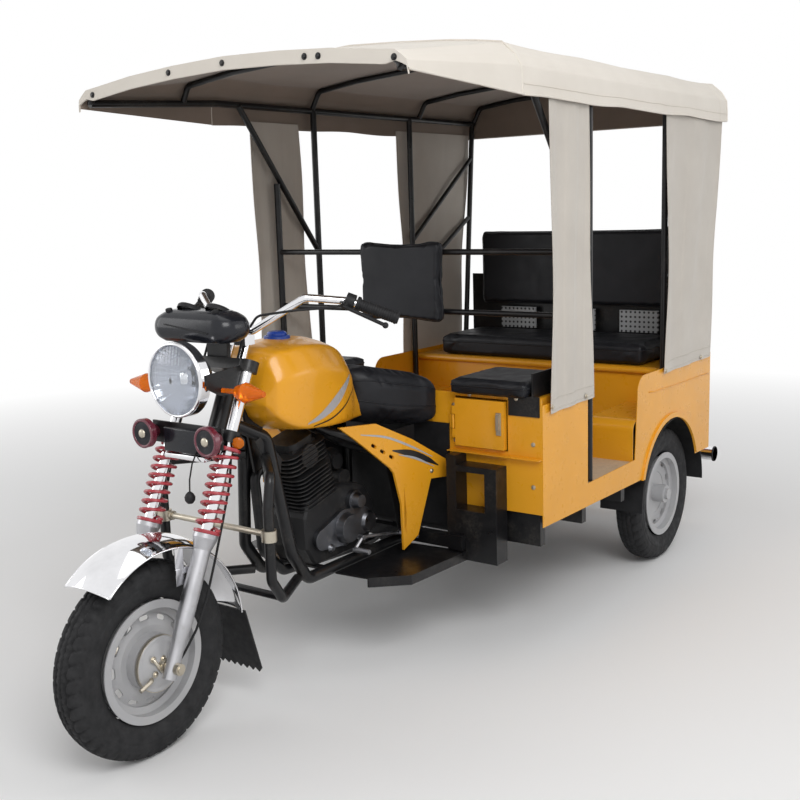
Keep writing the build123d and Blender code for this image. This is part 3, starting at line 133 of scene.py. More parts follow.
class Maker(Nodes):
    """Builds a node material: one Principled shader with textures in object space."""

    def __init__(self, name):
        self.name = name
        self.material = bpy.data.materials.new(name)
        super().__init__(self.material)
        self.shader = self.first("BSDF_PRINCIPLED")
        self.space = self.node("ShaderNodeTexCoord").outputs["Object"]
        self.height = None

    def set(self, **values):
        for key, value in values.items():
            self.feed(self.shader.inputs[key.replace("_", " ")], value)
        return self

    def edges(self, radius=0.0016):
        """Rounds the look of sharp edges, as paint and pressing do."""
        self.height = self.node("ShaderNodeBevel", {"Radius": radius}, samples=4).outputs[0]
        self.tree.links.new(self.height, self.shader.inputs["Normal"])
        return self

    def noise(self, scale, detail=4, rough=0.55):
        inputs = {"Vector": self.space, "Scale": scale, "Detail": detail, "Roughness": rough}
        return self.node("ShaderNodeTexNoise", inputs).outputs["Fac"]

    def axis(self, index):
        return self.node("ShaderNodeSeparateXYZ", {"Vector": self.space}).outputs[index]

    def wave(self, scale, way, distortion=0.0):
        inputs = {"Vector": self.space, "Scale": scale, "Distortion": distortion}
        return self.node("ShaderNodeTexWave", inputs, bands_direction=way).outputs["Fac"]

    def bump(self, height, strength=0.3, distance=0.001):
        made = self.node("ShaderNodeBump", {"Height": height, "Strength": strength, "Distance": distance})
        if self.height:
            self.tree.links.new(self.height, made.inputs["Normal"])
        self.height = made.outputs[0]
        self.tree.links.new(self.height, self.shader.inputs["Normal"])
        return self


DUST = (0.55, 0.5, 0.42)
PAINT_DRIFT = 0.06
SPOTS = (0.3, 0.28, 0.25)


def painted(name, colour, rough=0.3, coat=0.5, dust_share=0.1, gloss=0.5):
    """Sprayed paint: slight colour drift, orange peel under a clear coat, dust in patches."""
    m = Maker(name).edges()
    darker = tuple(c * (1 - PAINT_DRIFT) for c in colour)
    lighter = tuple(min(1, c * (1 + PAINT_DRIFT)) for c in colour)
    base = m.mix(m.ramp(m.noise(3.0, 3), 0.3, 0.7), darker, lighter)
    patches = m.math("MULTIPLY", m.ramp(m.noise(9, 6, 0.65), 0.5, 0.8), m.ramp(m.noise(140, 3), 0.35, 0.75))
    m.set(Base_Color=m.mix(m.math("MULTIPLY", patches, dust_share), base, DUST))
    m.set(Roughness=m.ramp(m.noise(30, 5), 0.25, 0.75, rough * 0.75, rough * 1.35))
    m.set(Coat_Weight=coat, Coat_Roughness=0.08, Specular_IOR_Level=gloss)
    return m.bump(m.noise(260, 2), 0.05, 0.0006)


def metal(name, colour, rough, spots=0.0):
    """Plated metal, or with a share of darker spots above 0, bare metal with fine grain."""
    m = Maker(name).edges(0.001)
    tint = m.mix(m.ramp(m.noise(14, 5), 0.3, 0.75), colour, tuple(c * 0.86 for c in colour))
    if spots:
        tint = m.mix(m.ramp(m.noise(60, 6, 0.7), 0.56, 0.72, 0, spots), tint, SPOTS)
    m.set(Base_Color=tint, Metallic=1.0)
    m.set(Roughness=m.ramp(m.noise(22, 6), 0.25, 0.8, rough * 0.7, rough * 1.5))
    if spots:
        m.bump(m.noise(400, 3), 0.12, 0.0004)
    return m


def plastic(name, colour, rough=0.45, grain=320, strength=0.12, vary=0.12, gloss=0.5):
    """Moulded plastic or rubber with a fine surface grain."""
    m = Maker(name).edges(0.0012)
    lighter = tuple(min(1, c * (1 + vary) + 0.004) for c in colour)
    m.set(Base_Color=m.mix(m.ramp(m.noise(20, 5), 0.3, 0.7), colour, lighter))
    drift = m.ramp(m.noise(45, 5), 0.3, 0.7, rough * 0.8, min(1, rough * 1.25))
    m.set(Roughness=drift, Specular_IOR_Level=gloss)
    return m.bump(m.noise(grain, 2), strength, 0.0005)


def woven(name, colour, shade, weave=900, rough=0.85):
    """Canvas: two crossed thread waves for the weave, with drifting dye and soft creases."""
    m = Maker(name)
    m.set(Base_Color=m.mix(m.ramp(m.noise(4, 5), 0.3, 0.75), colour, shade), Roughness=rough)
    m.set(Sheen_Weight=0.25, Sheen_Roughness=0.5)
    m.bump(m.math("ADD", *(m.wave(weave / 6.3, way, 0.6) for way in ("Y", "Z"))), 0.18, 0.0004)
    return m.bump(m.noise(11, 4), 0.25, 0.004)


def vinyl(name, colour):
    """Seat vinyl: leather-like grain of small cells, with worn sheen."""
    m = Maker(name)
    m.set(Base_Color=m.mix(m.ramp(m.noise(7, 5), 0.35, 0.7), colour, tuple(c * 1.5 + 0.003 for c in colour)))
    m.set(Roughness=m.ramp(m.noise(16, 5), 0.3, 0.7, 0.36, 0.55), Specular_IOR_Level=0.28)
    cells = m.node("ShaderNodeTexVoronoi", {"Vector": m.space, "Scale": 420}, feature="DISTANCE_TO_EDGE")
    return m.bump(cells.outputs["Distance"], 0.3, 0.0006).bump(m.noise(28, 4), 0.2, 0.002)


def clear(name, colour, rough=0.04, through=0.92):
    """Clear moulded lens with fine upright flutes."""
    m = Maker(name)
    m.set(Base_Color=(*colour, 1), Transmission_Weight=through, IOR=1.3)
    m.set(Roughness=m.ramp(m.noise(30, 3), 0.3, 0.7, rough, rough * 2))
    return m.bump(m.wave(26, "X", 0.2), 0.2, 0.002)


def floor_look(name, mat, plate, top):
    """Ribbed mat over the plate, with the dark painted edges showing below its top."""
    m = Maker(name).edges()
    grain = m.mix(m.ramp(m.noise(60, 6), 0.3, 0.7), mat, tuple(c * 0.8 for c in mat))
    dirt = m.mix(m.ramp(m.noise(5, 6, 0.7), 0.5, 0.75, 0, 0.35), grain, (0.16, 0.13, 0.1))
    m.set(Base_Color=m.mix(m.ramp(m.axis(2), top - 0.0042, top - 0.0036), plate, dirt), Roughness=0.62)
    return m.bump(m.wave(22, "X"), 0.2, 0.001).bump(m.noise(240, 3), 0.2, 0.0006)


def punched(name, sheet, hole, pitch):
    """Sheet with rows of small round holes, worked out from the place across and up."""
    m = Maker(name).edges()
    cells = [m.math("SUBTRACT", m.math("FRACT", m.math("DIVIDE", m.axis(i), pitch)), 0.5) for i in (0, 2)]
    mask = m.ramp(m.math("ADD", *(m.math("MULTIPLY", c, c) for c in cells)), 0.05, 0.075)
    tint = m.mix(m.ramp(m.noise(18, 4), 0.3, 0.7), sheet, tuple(c * 0.85 for c in sheet))
    m.set(Base_Color=m.mix(mask, hole, tint), Roughness=m.ramp(m.noise(40, 4), 0.3, 0.7, 0.4, 0.6))
    return m.bump(mask, 0.5, 0.001)


YELLOW = (0.78, 0.35, 0.014)
LOOKS = {made.name: made for made in (
    painted("yellow_paint", YELLOW, 0.3, 0.3, dust_share=0.04, gloss=0.35),
    painted("black_paint", (0.006, 0.006, 0.007), 0.34, 0.1, dust_share=0.12, gloss=0.3),
    painted("black_engine", (0.01, 0.01, 0.011), 0.45, 0.05, dust_share=0.16, gloss=0.3),
    painted("red_paint", (0.42, 0.03, 0.045), 0.28, 0.5),
    painted("maroon_paint", (0.13, 0.012, 0.03), 0.3, 0.5),
    painted("silver_paint", (0.4, 0.4, 0.41), 0.35, 0.2, dust_share=0.3),
    metal("cast_aluminium", (0.5, 0.5, 0.52), 0.38, 0.4),
    metal("chrome", (0.86, 0.86, 0.88), 0.07),
    metal("zinc_steel", (0.56, 0.51, 0.42), 0.35, 0.5),
    plastic("tyre", (0.016, 0.016, 0.017), 0.75, 200, 0.3, 0.5, 0.25),
    plastic("black_rubber", (0.011, 0.011, 0.012), 0.6, 260, 0.2, 0.4, 0.25),
    plastic("black_plastic", (0.009, 0.009, 0.01), 0.5, 300, 0.2, 0.4, 0.25),
    plastic("black_gloss_plastic", (0.009, 0.01, 0.014), 0.2, 300, 0.03, 0.3, 0.35),
    punched("grey_plastic", (0.45, 0.46, 0.47), (0.03, 0.03, 0.032), 0.021),
    plastic("blue_plastic", (0.01, 0.05, 0.32), 0.25, 300, 0.05),
    clear("amber_lens", (0.9, 0.22, 0.01), 0.08, 0.45),
    clear("red_lens", (0.5, 0.008, 0.01), 0.08, 0.45),
    clear("clear_lens", (0.93, 0.95, 0.97)),
    floor_look("floor_mat", (0.56, 0.43, 0.3), (0.012, 0.012, 0.013), FLOOR_TOP),
    vinyl("black_vinyl", (0.007, 0.0075, 0.01)),
    woven("canopy_cloth", (0.74, 0.69, 0.62), (0.68, 0.63, 0.56)),
    woven("curtain_cloth", (0.57, 0.53, 0.475), (0.5, 0.46, 0.41)),
)}
LINING = woven("lining", (0.27, 0.21, 0.17), (0.22, 0.175, 0.14)).material
SILVER_STRIPE = painted("silver_stripe", (0.4, 0.41, 0.43), 0.3, 0.4, dust_share=0.05).material
BLACK_STRIPE = painted("black_stripe", (0.012, 0.012, 0.013), 0.35, 0.3, dust_share=0.05).material
DARK_MESH = metal("dark_mesh", (0.05, 0.05, 0.055), 0.45, 0.3).material
# Darker copy of chrome for the headlamp bowl: painted shade, so the bowl reads deep
SHADED_CHROME = metal("reflector", (0.5, 0.52, 0.58), 0.12).material
ENGINE_ALLOY = metal("engine_alloy", (0.17, 0.175, 0.19), 0.34, 0.4).material
DIAL = plastic("dial", (0.55, 0.56, 0.56), 0.4, 200, 0.05).material


def look(slot):
    return LOOKS[slot].material


for entry in RECORD["subparts"]:
    slots = NODES[entry["node"]].data.materials
    slots.clear()
    slots.append(look(entry["material_slot"]))
NODES["engine_covers"].data.materials[0] = ENGINE_ALLOY


# Mesh helpers

def linked(name, data):
    """A new object in the scene."""
    made = bpy.data.objects.new(name, data)
    bpy.context.scene.collection.objects.link(made)
    return made


def put(name, points, faces, material, body, slot=None, smooth=True):
    """A mesh riding a body. A slot's name in place of a material gives the look of that slot."""
    if isinstance(material, str):
        slot, material = material, look(material)
    data = bpy.data.meshes.new(name)
    data.from_pydata([tuple(p) for p in points], [], faces)
    data.validate()
    for polygon in data.polygons:
        polygon.use_smooth = smooth
    made = linked(name, data)
    data.materials.append(material)
    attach(made, body)
    return made


def grid_faces(rows, columns, close_rows=False, close_columns=False):
    """Quads between rows of points, each row holding the same number of columns."""
    faces = []
    for r in range(rows if close_rows else rows - 1):
        for c in range(columns if close_columns else columns - 1):
            near, far = r * columns, (r + 1) % rows * columns
            after = (c + 1) % columns
            faces.append((near + c, near + after, far + after, far + c))
    return faces


def filled_rings(rows, count):
    """Faces over rings of points in a row, with both ends filled."""
    last = (rows - 1) * count
    ends = [tuple(reversed(range(count))), tuple(range(last, last + count))]
    return grid_faces(rows, count, close_columns=True) + ends


def modifier(made, kind, **settings):
    added = made.modifiers.new(kind.lower(), kind)
    for key, value in settings.items():
        setattr(added, key, value)
    return added


def bake(made):
    """Applies the object's modifiers to its mesh."""
    graph = bpy.context.evaluated_depsgraph_get()
    data = bpy.data.meshes.new_from_object(made.evaluated_get(graph))
    made.modifiers.clear()
    made.data = data
    return made


def ring_frames(points, closed=False):
    """Two directions across the line at each point, carried along without twist."""
    count, frames, side = len(points), [], None
    for i in range(count):
        after = points[(i + 1) % count] if closed or i < count - 1 else points[i]
        before = points[i - 1] if closed or i > 0 else points[i]
        way = (after - before).normalized()
        side = side or way.orthogonal().normalized()
        side = (side - way * side.dot(way)).normalized()
        frames.append((side, way.cross(side)))
    return frames


def round_from(a, b, count):
    """Unit directions evenly round the line that a and b lie across."""
    turns = [math.tau * i / count for i in range(count)]
    return [a * math.cos(turn) + b * math.sin(turn) for turn in turns]


def tube(name, points, radius, material, body, sides=10, closed=False):
    """Round bar, wire or bead of a radius in mm along points in metres."""
    rings = []
    for point, (a, b) in zip(points, ring_frames(points, closed)):
        rings += [point + out * radius / 1000 for out in round_from(a, b, sides)]
    if closed:
        faces = grid_faces(len(points), sides, close_rows=True, close_columns=True)
    else:
        faces = filled_rings(len(points), sides)
    return put(name, rings, faces, material, body)


def turned(name, profile, centre, way, material, body, steps=64, smooth=True, slot=None):
    """Surface turned about a line: profile holds (along, radius) in mm from the centre."""
    way = Vector(way).normalized()
    a = way.orthogonal().normalized()
    ways_out = round_from(a, way.cross(a), steps)
    points = []
    for along, radius in profile:
        points += [centre + (way * along + out * max(radius, 0.01)) / 1000 for out in ways_out]
    faces = grid_faces(len(profile), steps, close_columns=True)
    return put(name, points, faces, material, body, slot, smooth)


def rounded(points, radius=8, steps=4):
    """The line with each inner corner turned into a small curve, from points in mm."""
    points = [Vector(p) for p in points]
    line = [points[0]]
    for before, here, after in zip(points, points[1:], points[2:]):
        back, ahead = before - here, after - here
        reach = min(radius, back.length * 0.45, ahead.length * 0.45)
        start, end = here + back.normalized() * reach, here + ahead.normalized() * reach
        for i in range(steps + 1):
            t = i / steps
            line.append(start * (1 - t) ** 2 + here * 2 * t * (1 - t) + end * t ** 2)
    return line + [points[-1]]


BOLT = (  # along, size, hexagonal
    (0, 1.5, False), (0.22, 1.5, False), (0.3, 1.38, False), (0.32, 1.0, True), (0.82, 1.0, True),
    (0.98, 0.84, True))
BOLT_SIDES = 24


def bolts(name, places, way, radius, body, slot="zinc_steel"):
    """Hexagon heads on washers, all in one piece, with their places in mm."""
    way = Vector(way).normalized()
    a = way.orthogonal().normalized()
    b = way.cross(a)
    rings = grid_faces(len(BOLT), BOLT_SIDES, close_columns=True)
    points, faces = [], []
    for place in places:
        first = len(points)
        for along, size, hexagonal in BOLT:
            for i in range(BOLT_SIDES):
                turn = math.tau * i / BOLT_SIDES
                from_flat = turn % (math.pi / 3) - math.pi / 6
                flat = math.cos(math.pi / 6) / math.cos(from_flat) if hexagonal else 1
                across = (a * math.cos(turn) + b * math.sin(turn)) * size * flat
                points.append(at(*place) + (way * along + across) * radius / 1000)
        faces += [tuple(first + i for i in face) for face in rings]
        faces.append(tuple(range(len(points) - BOLT_SIDES, len(points))))
    return put(name, points, faces, slot, body, smooth=False)


def curve_through(table, steps):
    """Rows between the table's rows on a smooth curve; the first column is the place along."""
    rows = [np.array(row, float) for row in table]
    made = []
    for i in range(len(rows) - 1):
        before, a, b, after = rows[max(i - 1, 0)], rows[i], rows[i + 1], rows[min(i + 2, len(rows) - 1)]
        gap = b[0] - a[0]
        slope_a, slope_b = (b - before) / (b[0] - before[0]), (after - a) / (after[0] - a[0])
        for k in range(steps):
            t = k / steps
            row = (2 * t**3 - 3 * t**2 + 1) * a + (t**3 - 2 * t**2 + t) * gap * slope_a
            row = row + (3 * t**2 - 2 * t**3) * b + (t**3 - t**2) * gap * slope_b
            row[0] = a[0] + gap * t
            made.append(row)
    return made + [rows[-1]]


def corner_cut(ring, share, times):
    """Closed outline with its corners cut again and again, so they turn round."""
    for _ in range(times):
        cut = []
        for a, b in zip(ring, ring[1:] + ring[:1]):
            cut += [(a[0] + (b[0] - a[0]) * share, a[1] + (b[1] - a[1]) * share),
                    (b[0] + (a[0] - b[0]) * share, b[1] + (a[1] - b[1]) * share)]
        ring = cut
    return ring


def lofted(name, rings, material, body):
    """Closed skin over rings of points, with both ends filled."""
    points = [p for ring in rings for p in ring]
    return put(name, points, filled_rings(len(rings), len(rings[0])), material, body)


def slab(name, low, high, corner, material, body):
    """Block with rounded edges between two corners in mm."""
    work = bmesh.new()
    bmesh.ops.create_cube(work, size=1)
    low, high = at(*low), at(*high)
    for v in work.verts:
        v.co = Vector([(a + b) / 2 + (b - a) * c for a, b, c in zip(low, high, v.co)])
    bmesh.ops.bevel(work, geom=work.edges[:], offset=corner / 1000, segments=3, affect="EDGES", profile=0.5)
    points = [v.co.copy() for v in work.verts]
    faces = [tuple(v.index for v in f.verts) for f in work.faces]
    work.free()
    return put(name, points, faces, material, body)


def surface_of(made):
    """The object's surface, to find points on it with rays."""
    data = made.data
    return BVHTree.FromPolygons([v.co for v in data.vertices], [p.vertices[:] for p in data.polygons])


DECAL_COLUMNS = 7
DECAL_FROM_X = 500


def decal(name, target, line, material, lift=0.7):
    """Painted band on both outer sides of a chassis node: line holds (y, z, half width) in mm."""
    tree = surface_of(target)
    rows = curve_through(line, 8)
    middle = DECAL_COLUMNS // 2
    points, faces = [], []
    for side in (1, -1):
        first = len(points)
        for i, (y, z, half) in enumerate(rows):
            near, far = rows[max(i - 1, 0)], rows[min(i + 1, len(rows) - 1)]
            along = Vector((far[0] - near[0], far[1] - near[1])).normalized()
            for j in range(DECAL_COLUMNS):
                t = (j - middle) / middle * half
                start = at(side * DECAL_FROM_X, y - along.y * t, z + along.x * t)
                place, normal, _, _ = tree.ray_cast(start, Vector((-side, 0, 0)))
                if place is None:
                    place, normal = tree.find_nearest(start - Vector((side * 0.35, 0, 0)))[:2]
                if normal.x * side < 0:
                    normal = -normal
                points.append(place + normal * lift / 1000)
        faces += [tuple(first + k for k in face) for face in grid_faces(len(rows), DECAL_COLUMNS)]
    return put(name, points, faces, material, "chassis", "yellow_paint")


# Tyres

TREAD_PROFILE = (  # across, from the bead to the crown: x, radius, mm
    (47, 253), (45, 259), (37, 265.5), (24, 269.5), (10, 271.8), (0, 272.4))
WALL = (
    (36, 172), (40, 180), (46, 190), (50.5, 203), (52.6, 214), (52.8, 219), (51.6, 221), (52.8, 223),
    (52, 236), (51, 238), (51.6, 241), (50, 247))
TREAD_HALF = 47.5
SHOULDER_FROM = 21
LUGS = 44
AROUND = 352
GROOVES = ((0, 0.6), (19, 1))  # place across in mm, share of the zigzag
GROOVE_HALF, GROOVE_DEPTH, GROOVE_BANK = 3.4, 5.0, 1.2
LUG_DEPTH, SIPE_DEPTH = 6.0, 3.0


def tyre_radius(x):
    xs, rs = zip(*reversed(TREAD_PROFILE))
    return float(np.interp(abs(x), xs, rs))


def tread_depth(x, angle):
    """Depth of the tread's grooves at a point across and round the tyre."""
    phase = angle * LUGS / (2 * math.pi)
    zigzag = 4.5 * abs((phase % 1) * 2 - 1) - 2.2
    depth = 0.0
    for centre, swing in GROOVES:
        gap = abs(abs(x) - centre - swing * zigzag)
        depth = max(depth, GROOVE_DEPTH * min(1, max(0, (GROOVE_HALF - gap) / GROOVE_BANK)))
    side = math.copysign(0.25, x) if x else 0
    across = abs(((phase + side + abs(x) * 0.012) % 1) - 0.5)
    if abs(x) > SHOULDER_FROM:
        return max(depth, LUG_DEPTH * min(1, max(0, (0.1 - across) / 0.035)))
    sipe = abs(((phase * 2 + side) % 1) - 0.5)
    return max(depth, SIPE_DEPTH * min(1, max(0, (0.07 - sipe) / 0.03))) if abs(x) > 3 else depth


def tyre(name, node, body, x_centre, y_centre):
    """Tyre with zigzag grooves, side lugs and rings on its walls."""
    tread = [float(x) for x in np.linspace(-TREAD_HALF, TREAD_HALF, 53)]
    points = []
    for i in range(AROUND):
        angle = math.tau * i / AROUND
        section = [(-x, r) for x, r in WALL]
        section += [(x, tyre_radius(x) - tread_depth(x, angle)) for x in tread]
        section += [(x, r) for x, r in reversed(WALL)]
        for x, r in section:
            points.append(Vector((x_centre + x / 1000, y_centre + r / 1000 * math.cos(angle),
                                  TYRE_R + r / 1000 * math.sin(angle))))
    columns = len(points) // AROUND
    made = put(name, points, grid_faces(AROUND, columns, close_rows=True), "tyre", body)
    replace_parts(made, node)


tyre("tyre_front", "front_tyre", "front_wheel", 0, AXLE_Y)
for side in ("left", "right"):
    low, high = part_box(f"rear_tyre_{side}")
    middle = (low + high) / 2
    tyre(f"tyre_rear_{side}", f"rear_tyre_{side}", f"rear_wheel_{side}", middle.x, middle.y)


# Front end

SIDES = (("left", 1), ("right", -1))
FORWARD = (0, -1, 0)
GUARD_Y, GUARD_Z = 22, 309
GUARD_HALF = 88
GUARD_FROM, GUARD_TO = 3, 133


def guard_point(radius, x, degrees):
    """A point on the mudguard's circle, its angle counted up from straight behind."""
    turn = math.radians(degrees)
    return at(x, GUARD_Y + radius * math.cos(turn), GUARD_Z + radius * math.sin(turn))


def mudguard_lips():
    for name, side in SIDES:
        turns = [GUARD_FROM + (GUARD_TO - GUARD_FROM) * i / 60 for i in range(61)]
        line = [guard_point(275, side * 88.5, turn) for turn in turns]
        tube(f"mudguard_lip_{name}", line, 2.6, "chrome", "steering")
    edge = []
    for i in range(25):
        x = -GUARD_HALF + 2 * GUARD_HALF * i / 24
        edge.append(guard_point(301 - 26 * (x / GUARD_HALF) ** 2, x, GUARD_TO))
    tube("mudguard_front_roll", edge, 2.4, "chrome", "steering")


def springs():
    """Red coil springs with double collars at each end of both legs."""
    coil_from, coil_to, turns = 374, 592, 8.5
    collar = ((0, 20), (0, 34), (2.5, 38), (5, 34.5), (7.5, 38), (10, 34), (10, 20))
    made = []
    for name, x in (("left", LEG_X), ("right", -LEG_X)):
        line = []
        count = int(turns * 22)
        for i in range(count + 1):
            t = i / count
            eased = t * 1.06 - 0.03 + 0.03 * math.cos(math.pi * t) if 0 < t < 1 else t
            turn = math.tau * turns * t
            along = coil_from + (coil_to - coil_from) * eased
            line.append(leg_at(along, x + 33 * math.cos(turn), 33 * math.sin(turn)))
        made.append(tube(f"spring_{name}", line, 4.6, "red_paint", "steering"))
        way = leg_at(1) - leg_at(0)
        for end, along in (("low", 362.3), ("high", 594)):
            turned(f"spring_collar_{name}_{end}", collar, leg_at(along, x), way, "red_paint", "steering", 48)
    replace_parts(made[0], "fork_springs")


def brake_plate():
    """Rings pressed in the brake plate, its lever and its bolts."""
    profile = ((0, 77), (2.5, 76), (3.5, 70), (3, 62), (6, 60), (6, 46), (9, 43), (9, 30), (13, 27),
               (13, 12), (13, 0))
    centre = at(66.5, 0, TYRE_R * 1000)
    turned("brake_plate_rings", profile, centre, (1, 0, 0), "silver_paint", "steering")
    lever = [Vector(p) / 1000 for p in rounded([(82, 22, 262), (84, -6, 252), (84, -36, 300)], 12)]
    lever = [Vector((p.x, p.y + AXLE_Y, p.z)) for p in lever]
    tube("brake_lever", lever, 5, "zinc_steel", "steering")
    bolts("brake_bolts", [(80, 0, 290), (80, -30, 255), (82, -36, 300)], (1, 0, 0), 6, "steering")


LAMP_Y, LAMP_Z = 182, 1012
BOWL_R, DOME_R = 98, 97

def headlamp():
    """Chrome bezel, faceted bowl in darker chrome as painted shade, with its bulb cap, and a clear dome."""
    face = at(0, LAMP_Y, LAMP_Z)
    bezel = ((-14, 104.6), (-4, 104.8), (3, 104), (7, 101.5), (8, 99), (6, 97), (0, 96.5), (-4, 97))
    turned("lamp_bezel", bezel, face, FORWARD, "chrome", "steering", 96)
    points, steps, rings, facets = [], 128, 14, 32
    for r in range(rings):
        radius = BOWL_R - 78 * r / (rings - 1)
        for i in range(steps):
            turn = math.tau * i / steps
            facet = 5 * (abs(((i / steps * facets) % 1) - 0.5) - 0.25) * min(1, r, rings - 1 - r)
            depth = 2 + 62 * (1 - (radius / BOWL_R) ** 2) + facet + (1.5 if r % 4 == 2 else 0)
            points.append(at(radius * math.cos(turn), LAMP_Y + depth, LAMP_Z + radius * math.sin(turn)))
    # The bowl's darker chrome is painted shade for its depth
    put("lamp_bowl", points, grid_faces(rings, steps, close_columns=True), SHADED_CHROME, "steering", "chrome")
    cap = ((-46, 22), (-30, 21), (-26, 17), (-24, 12), (-22.5, 6), (-22, 0))
    turned("lamp_bulb_cap", cap, face, FORWARD, "chrome", "steering", 40)
    dome = [(14 * (1 - (r / DOME_R) ** 2) + 1, r) for r in (DOME_R, 94, 88, 78, 64, 48, 30, 14, 0)]
    shell = dome + [(d - 3, r) for d, r in reversed(dome)]
    lens = turned("lamp_lens", shell, face, FORWARD, "clear_lens", "steering", 96)
    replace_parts(lens, "headlamp_lens")


def horns():
    """Faces of both horns, and the box between them with its chromed strip."""
    front = (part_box("horns")[0].y - AXLE_Y) * 1000
    ring = ((-6, 41), (1.5, 41), (3, 39), (3, 35), (0, 33), (-3, 33))
    mesh = [(2 * math.cos(math.pi * k) * (0.6 if k else 0) + 1, 33 - k * 3.4) for k in range(7)]
    knob = ((0, 13), (4, 12.5), (6, 10), (7, 6), (7.2, 0))
    for name, side in SIDES:
        centre = at(side * 124, front + 1, 855)
        turned(f"horn_rim_{name}", ring, centre, FORWARD, "maroon_paint", "steering")
        turned(f"horn_mesh_{name}", mesh, centre, FORWARD, DARK_MESH, "steering", slot="maroon_paint")
        turned(f"horn_centre_{name}", knob, centre, FORWARD, "zinc_steel", "steering", 40)
    slab("horn_box", (-81, 196, 803), (81, 226, 872), 5, "black_gloss_plastic", "steering")
    slab("horn_box_strip", (-78, 194, 785), (78, 224, 800), 3, "chrome", "steering")


def rounded_ring(half_x, half_y, corner, count=12):
    """Corners of a rounded rectangle, each as an arc."""
    ring = []
    for quarter in range(4):
        sx, sy = ((1, 1), (-1, 1), (-1, -1), (1, -1))[quarter]
        for i in range(count + 1):
            turn = math.pi / 2 * (quarter + i / count)
            ring.append((sx * (half_x - corner) + corner * math.cos(turn),
                         sy * (half_y - corner) + corner * math.sin(turn)))
    return ring


POD_SECTIONS = (  # rise, half width, half depth, corner, mm
    (-43, 124, 48, 40), (-30.5, 142.6, 58.8, 47), (-8.4, 153, 65, 54), (20.2, 145.6, 58.8, 49),
    (36, 122, 46, 40), (43, 100, 33, 30))
POD_Y, POD_Z = 292, 1152


def pod():
    """Instrument pod with two gauges, two knobs and the seam between its shells."""
    rings = []
    for rise, half_x, half_y, corner in curve_through(POD_SECTIONS, 5):
        rings.append([at(x, POD_Y + y, POD_Z + rise) for x, y in rounded_ring(half_x, half_y, corner)])
    lofted("pod_skin", rings, "black_gloss_plastic", "steering")
    rim = ((-4, 38), (6, 37), (9, 34), (8, 32), (2, 31))
    face = ((3, 32), (3.5, 20), (3.6, 0))
    for name, side in SIDES:
        centre, way = at(side * 56, 306, 1191), Vector((0, 0.5, 0.87))
        turned(f"gauge_rim_{name}", rim, centre, way, "black_plastic", "steering", 48)
        turned(f"gauge_dial_{name}", face, centre, way, DIAL, "steering", 48, slot="black_gloss_plastic")
        needle = [centre + way * 0.005, centre + way * 0.005 + Vector((0.02, -0.012, 0.007))]
        tube(f"gauge_needle_{name}", needle, 0.8, "red_paint", "steering", 6)
    knob = ((-6, 9), (6, 9), (9, 10), (14, 10), (16, 8), (16.5, 0))
    for name, x, y in (("left", 90, 262), ("right", -88, 258)):
        turned(f"pod_knob_{name}", knob, at(x, y, 1184), (0, -0.2, 1), "black_rubber", "steering", 24, False)
    ridge = [at(x, 226.5, 1156 - 0.12 * (x + 60)) for x in range(-80, 91, 10)]
    tube("pod_seam", ridge, 2, "black_plastic", "steering")


def reflector(name, centre, way, radius, body):
    dome = ((0, radius + 3), (4, radius + 3), (5, radius), (5.4, radius))
    turned(f"{name}_rim", dome, centre, way, "black_plastic", body, 40)
    turned(f"{name}_lens", ((4, radius), (6, radius - 2), (8, radius * 0.5), (8.4, 0)), centre, way,
           "amber_lens", body, 40)


mudguard_lips()
springs()
brake_plate()
headlamp()
horns()
pod()
reflector("fork_reflector", at(146, 262, 836), (0.6, -0.8, 0), 17, "steering")
reflector("lamp_marker", at(97, 196, 996), (1, -0.4, 0), 9, "steering")
drop = [at(50, 196, 812), at(51, 176, 784), at(50, 164, 742), at(50, 161, 700)]
lead = [p for a, b in zip(drop, drop[1:]) for p in (a, (a + b) / 2)] + [drop[-1]]
tube("bulb_lead", lead, 2.2, "black_rubber", "steering", 8)
BULB = ((-16, 0), (-14, 8), (-6, 14), (4, 15), (12, 11), (18, 5), (20, 0))
turned("bulb_on_lead", BULB, at(50, 161, 690), (0, 0, 1), "black_rubber", "steering", 24)


# Grips: ribbed sleeves over the bar's ends

for name, side in SIDES:
    end, before = at(side * 402, 668, 1148), at(side * 286, 598, 1200)
    profile = [(-3, 0), (-3, 15), (-1, 18.6), (3, 18.8)]
    for k in range(15):
        profile += [(6 + 7 * k, 16.6), (8 + 7 * k, 17.6), (11 + 7 * k, 17.6), (12.5 + 7 * k, 16.6)]
    profile += [(112, 19.5), (116, 20), (119, 17)]
    way = (before - end).normalized()
    turned(f"grip_ribs_{name}", profile, end, way, "black_rubber", "steering", 40)


# Fuel tank and side covers

TANK_SECTIONS = (  # y, crown z, shoulder x, z, flank x, z, foot x, z, bottom z
    (436, 950, 70, 944, 92, 930, 92, 905, 900), (458, 1046, 88, 1036, 126, 972, 124, 868, 858),
    (530, 1078, 112, 1060, 150, 990, 142, 826, 812), (634, 1083, 116, 1062, 153, 988, 140, 808, 798),
    (740, 1066, 104, 1042, 141, 972, 130, 800, 790), (808, 1024, 86, 1001, 118, 944, 110, 796, 788),
    (850, 950, 70, 936, 92, 900, 96, 796, 788), (896, 822, 56, 818, 84, 810, 84, 796, 788))


def tank():
    rings = []
    for y, crown, sx, sz, fx, fz, gx, gz, bottom in curve_through(TANK_SECTIONS, 9):
        half = [(sx * 0.5, (crown + sz) / 2 + 3), (sx, sz), (fx, fz)]
        half += [((fx + gx) / 2, (fz + gz) / 2), (gx, gz)]
        ring = [(0, crown), *half, (0, bottom), *[(-x, z) for x, z in reversed(half)]]
        ring = corner_cut(corner_cut(ring, 0.1, 1), 0.24, 2)
        rings.append([at(x, y, z) for x, z in ring])
    made = lofted("tank_skin", rings, "yellow_paint", "chassis")
    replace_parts(made, "fuel_tank")
    return made


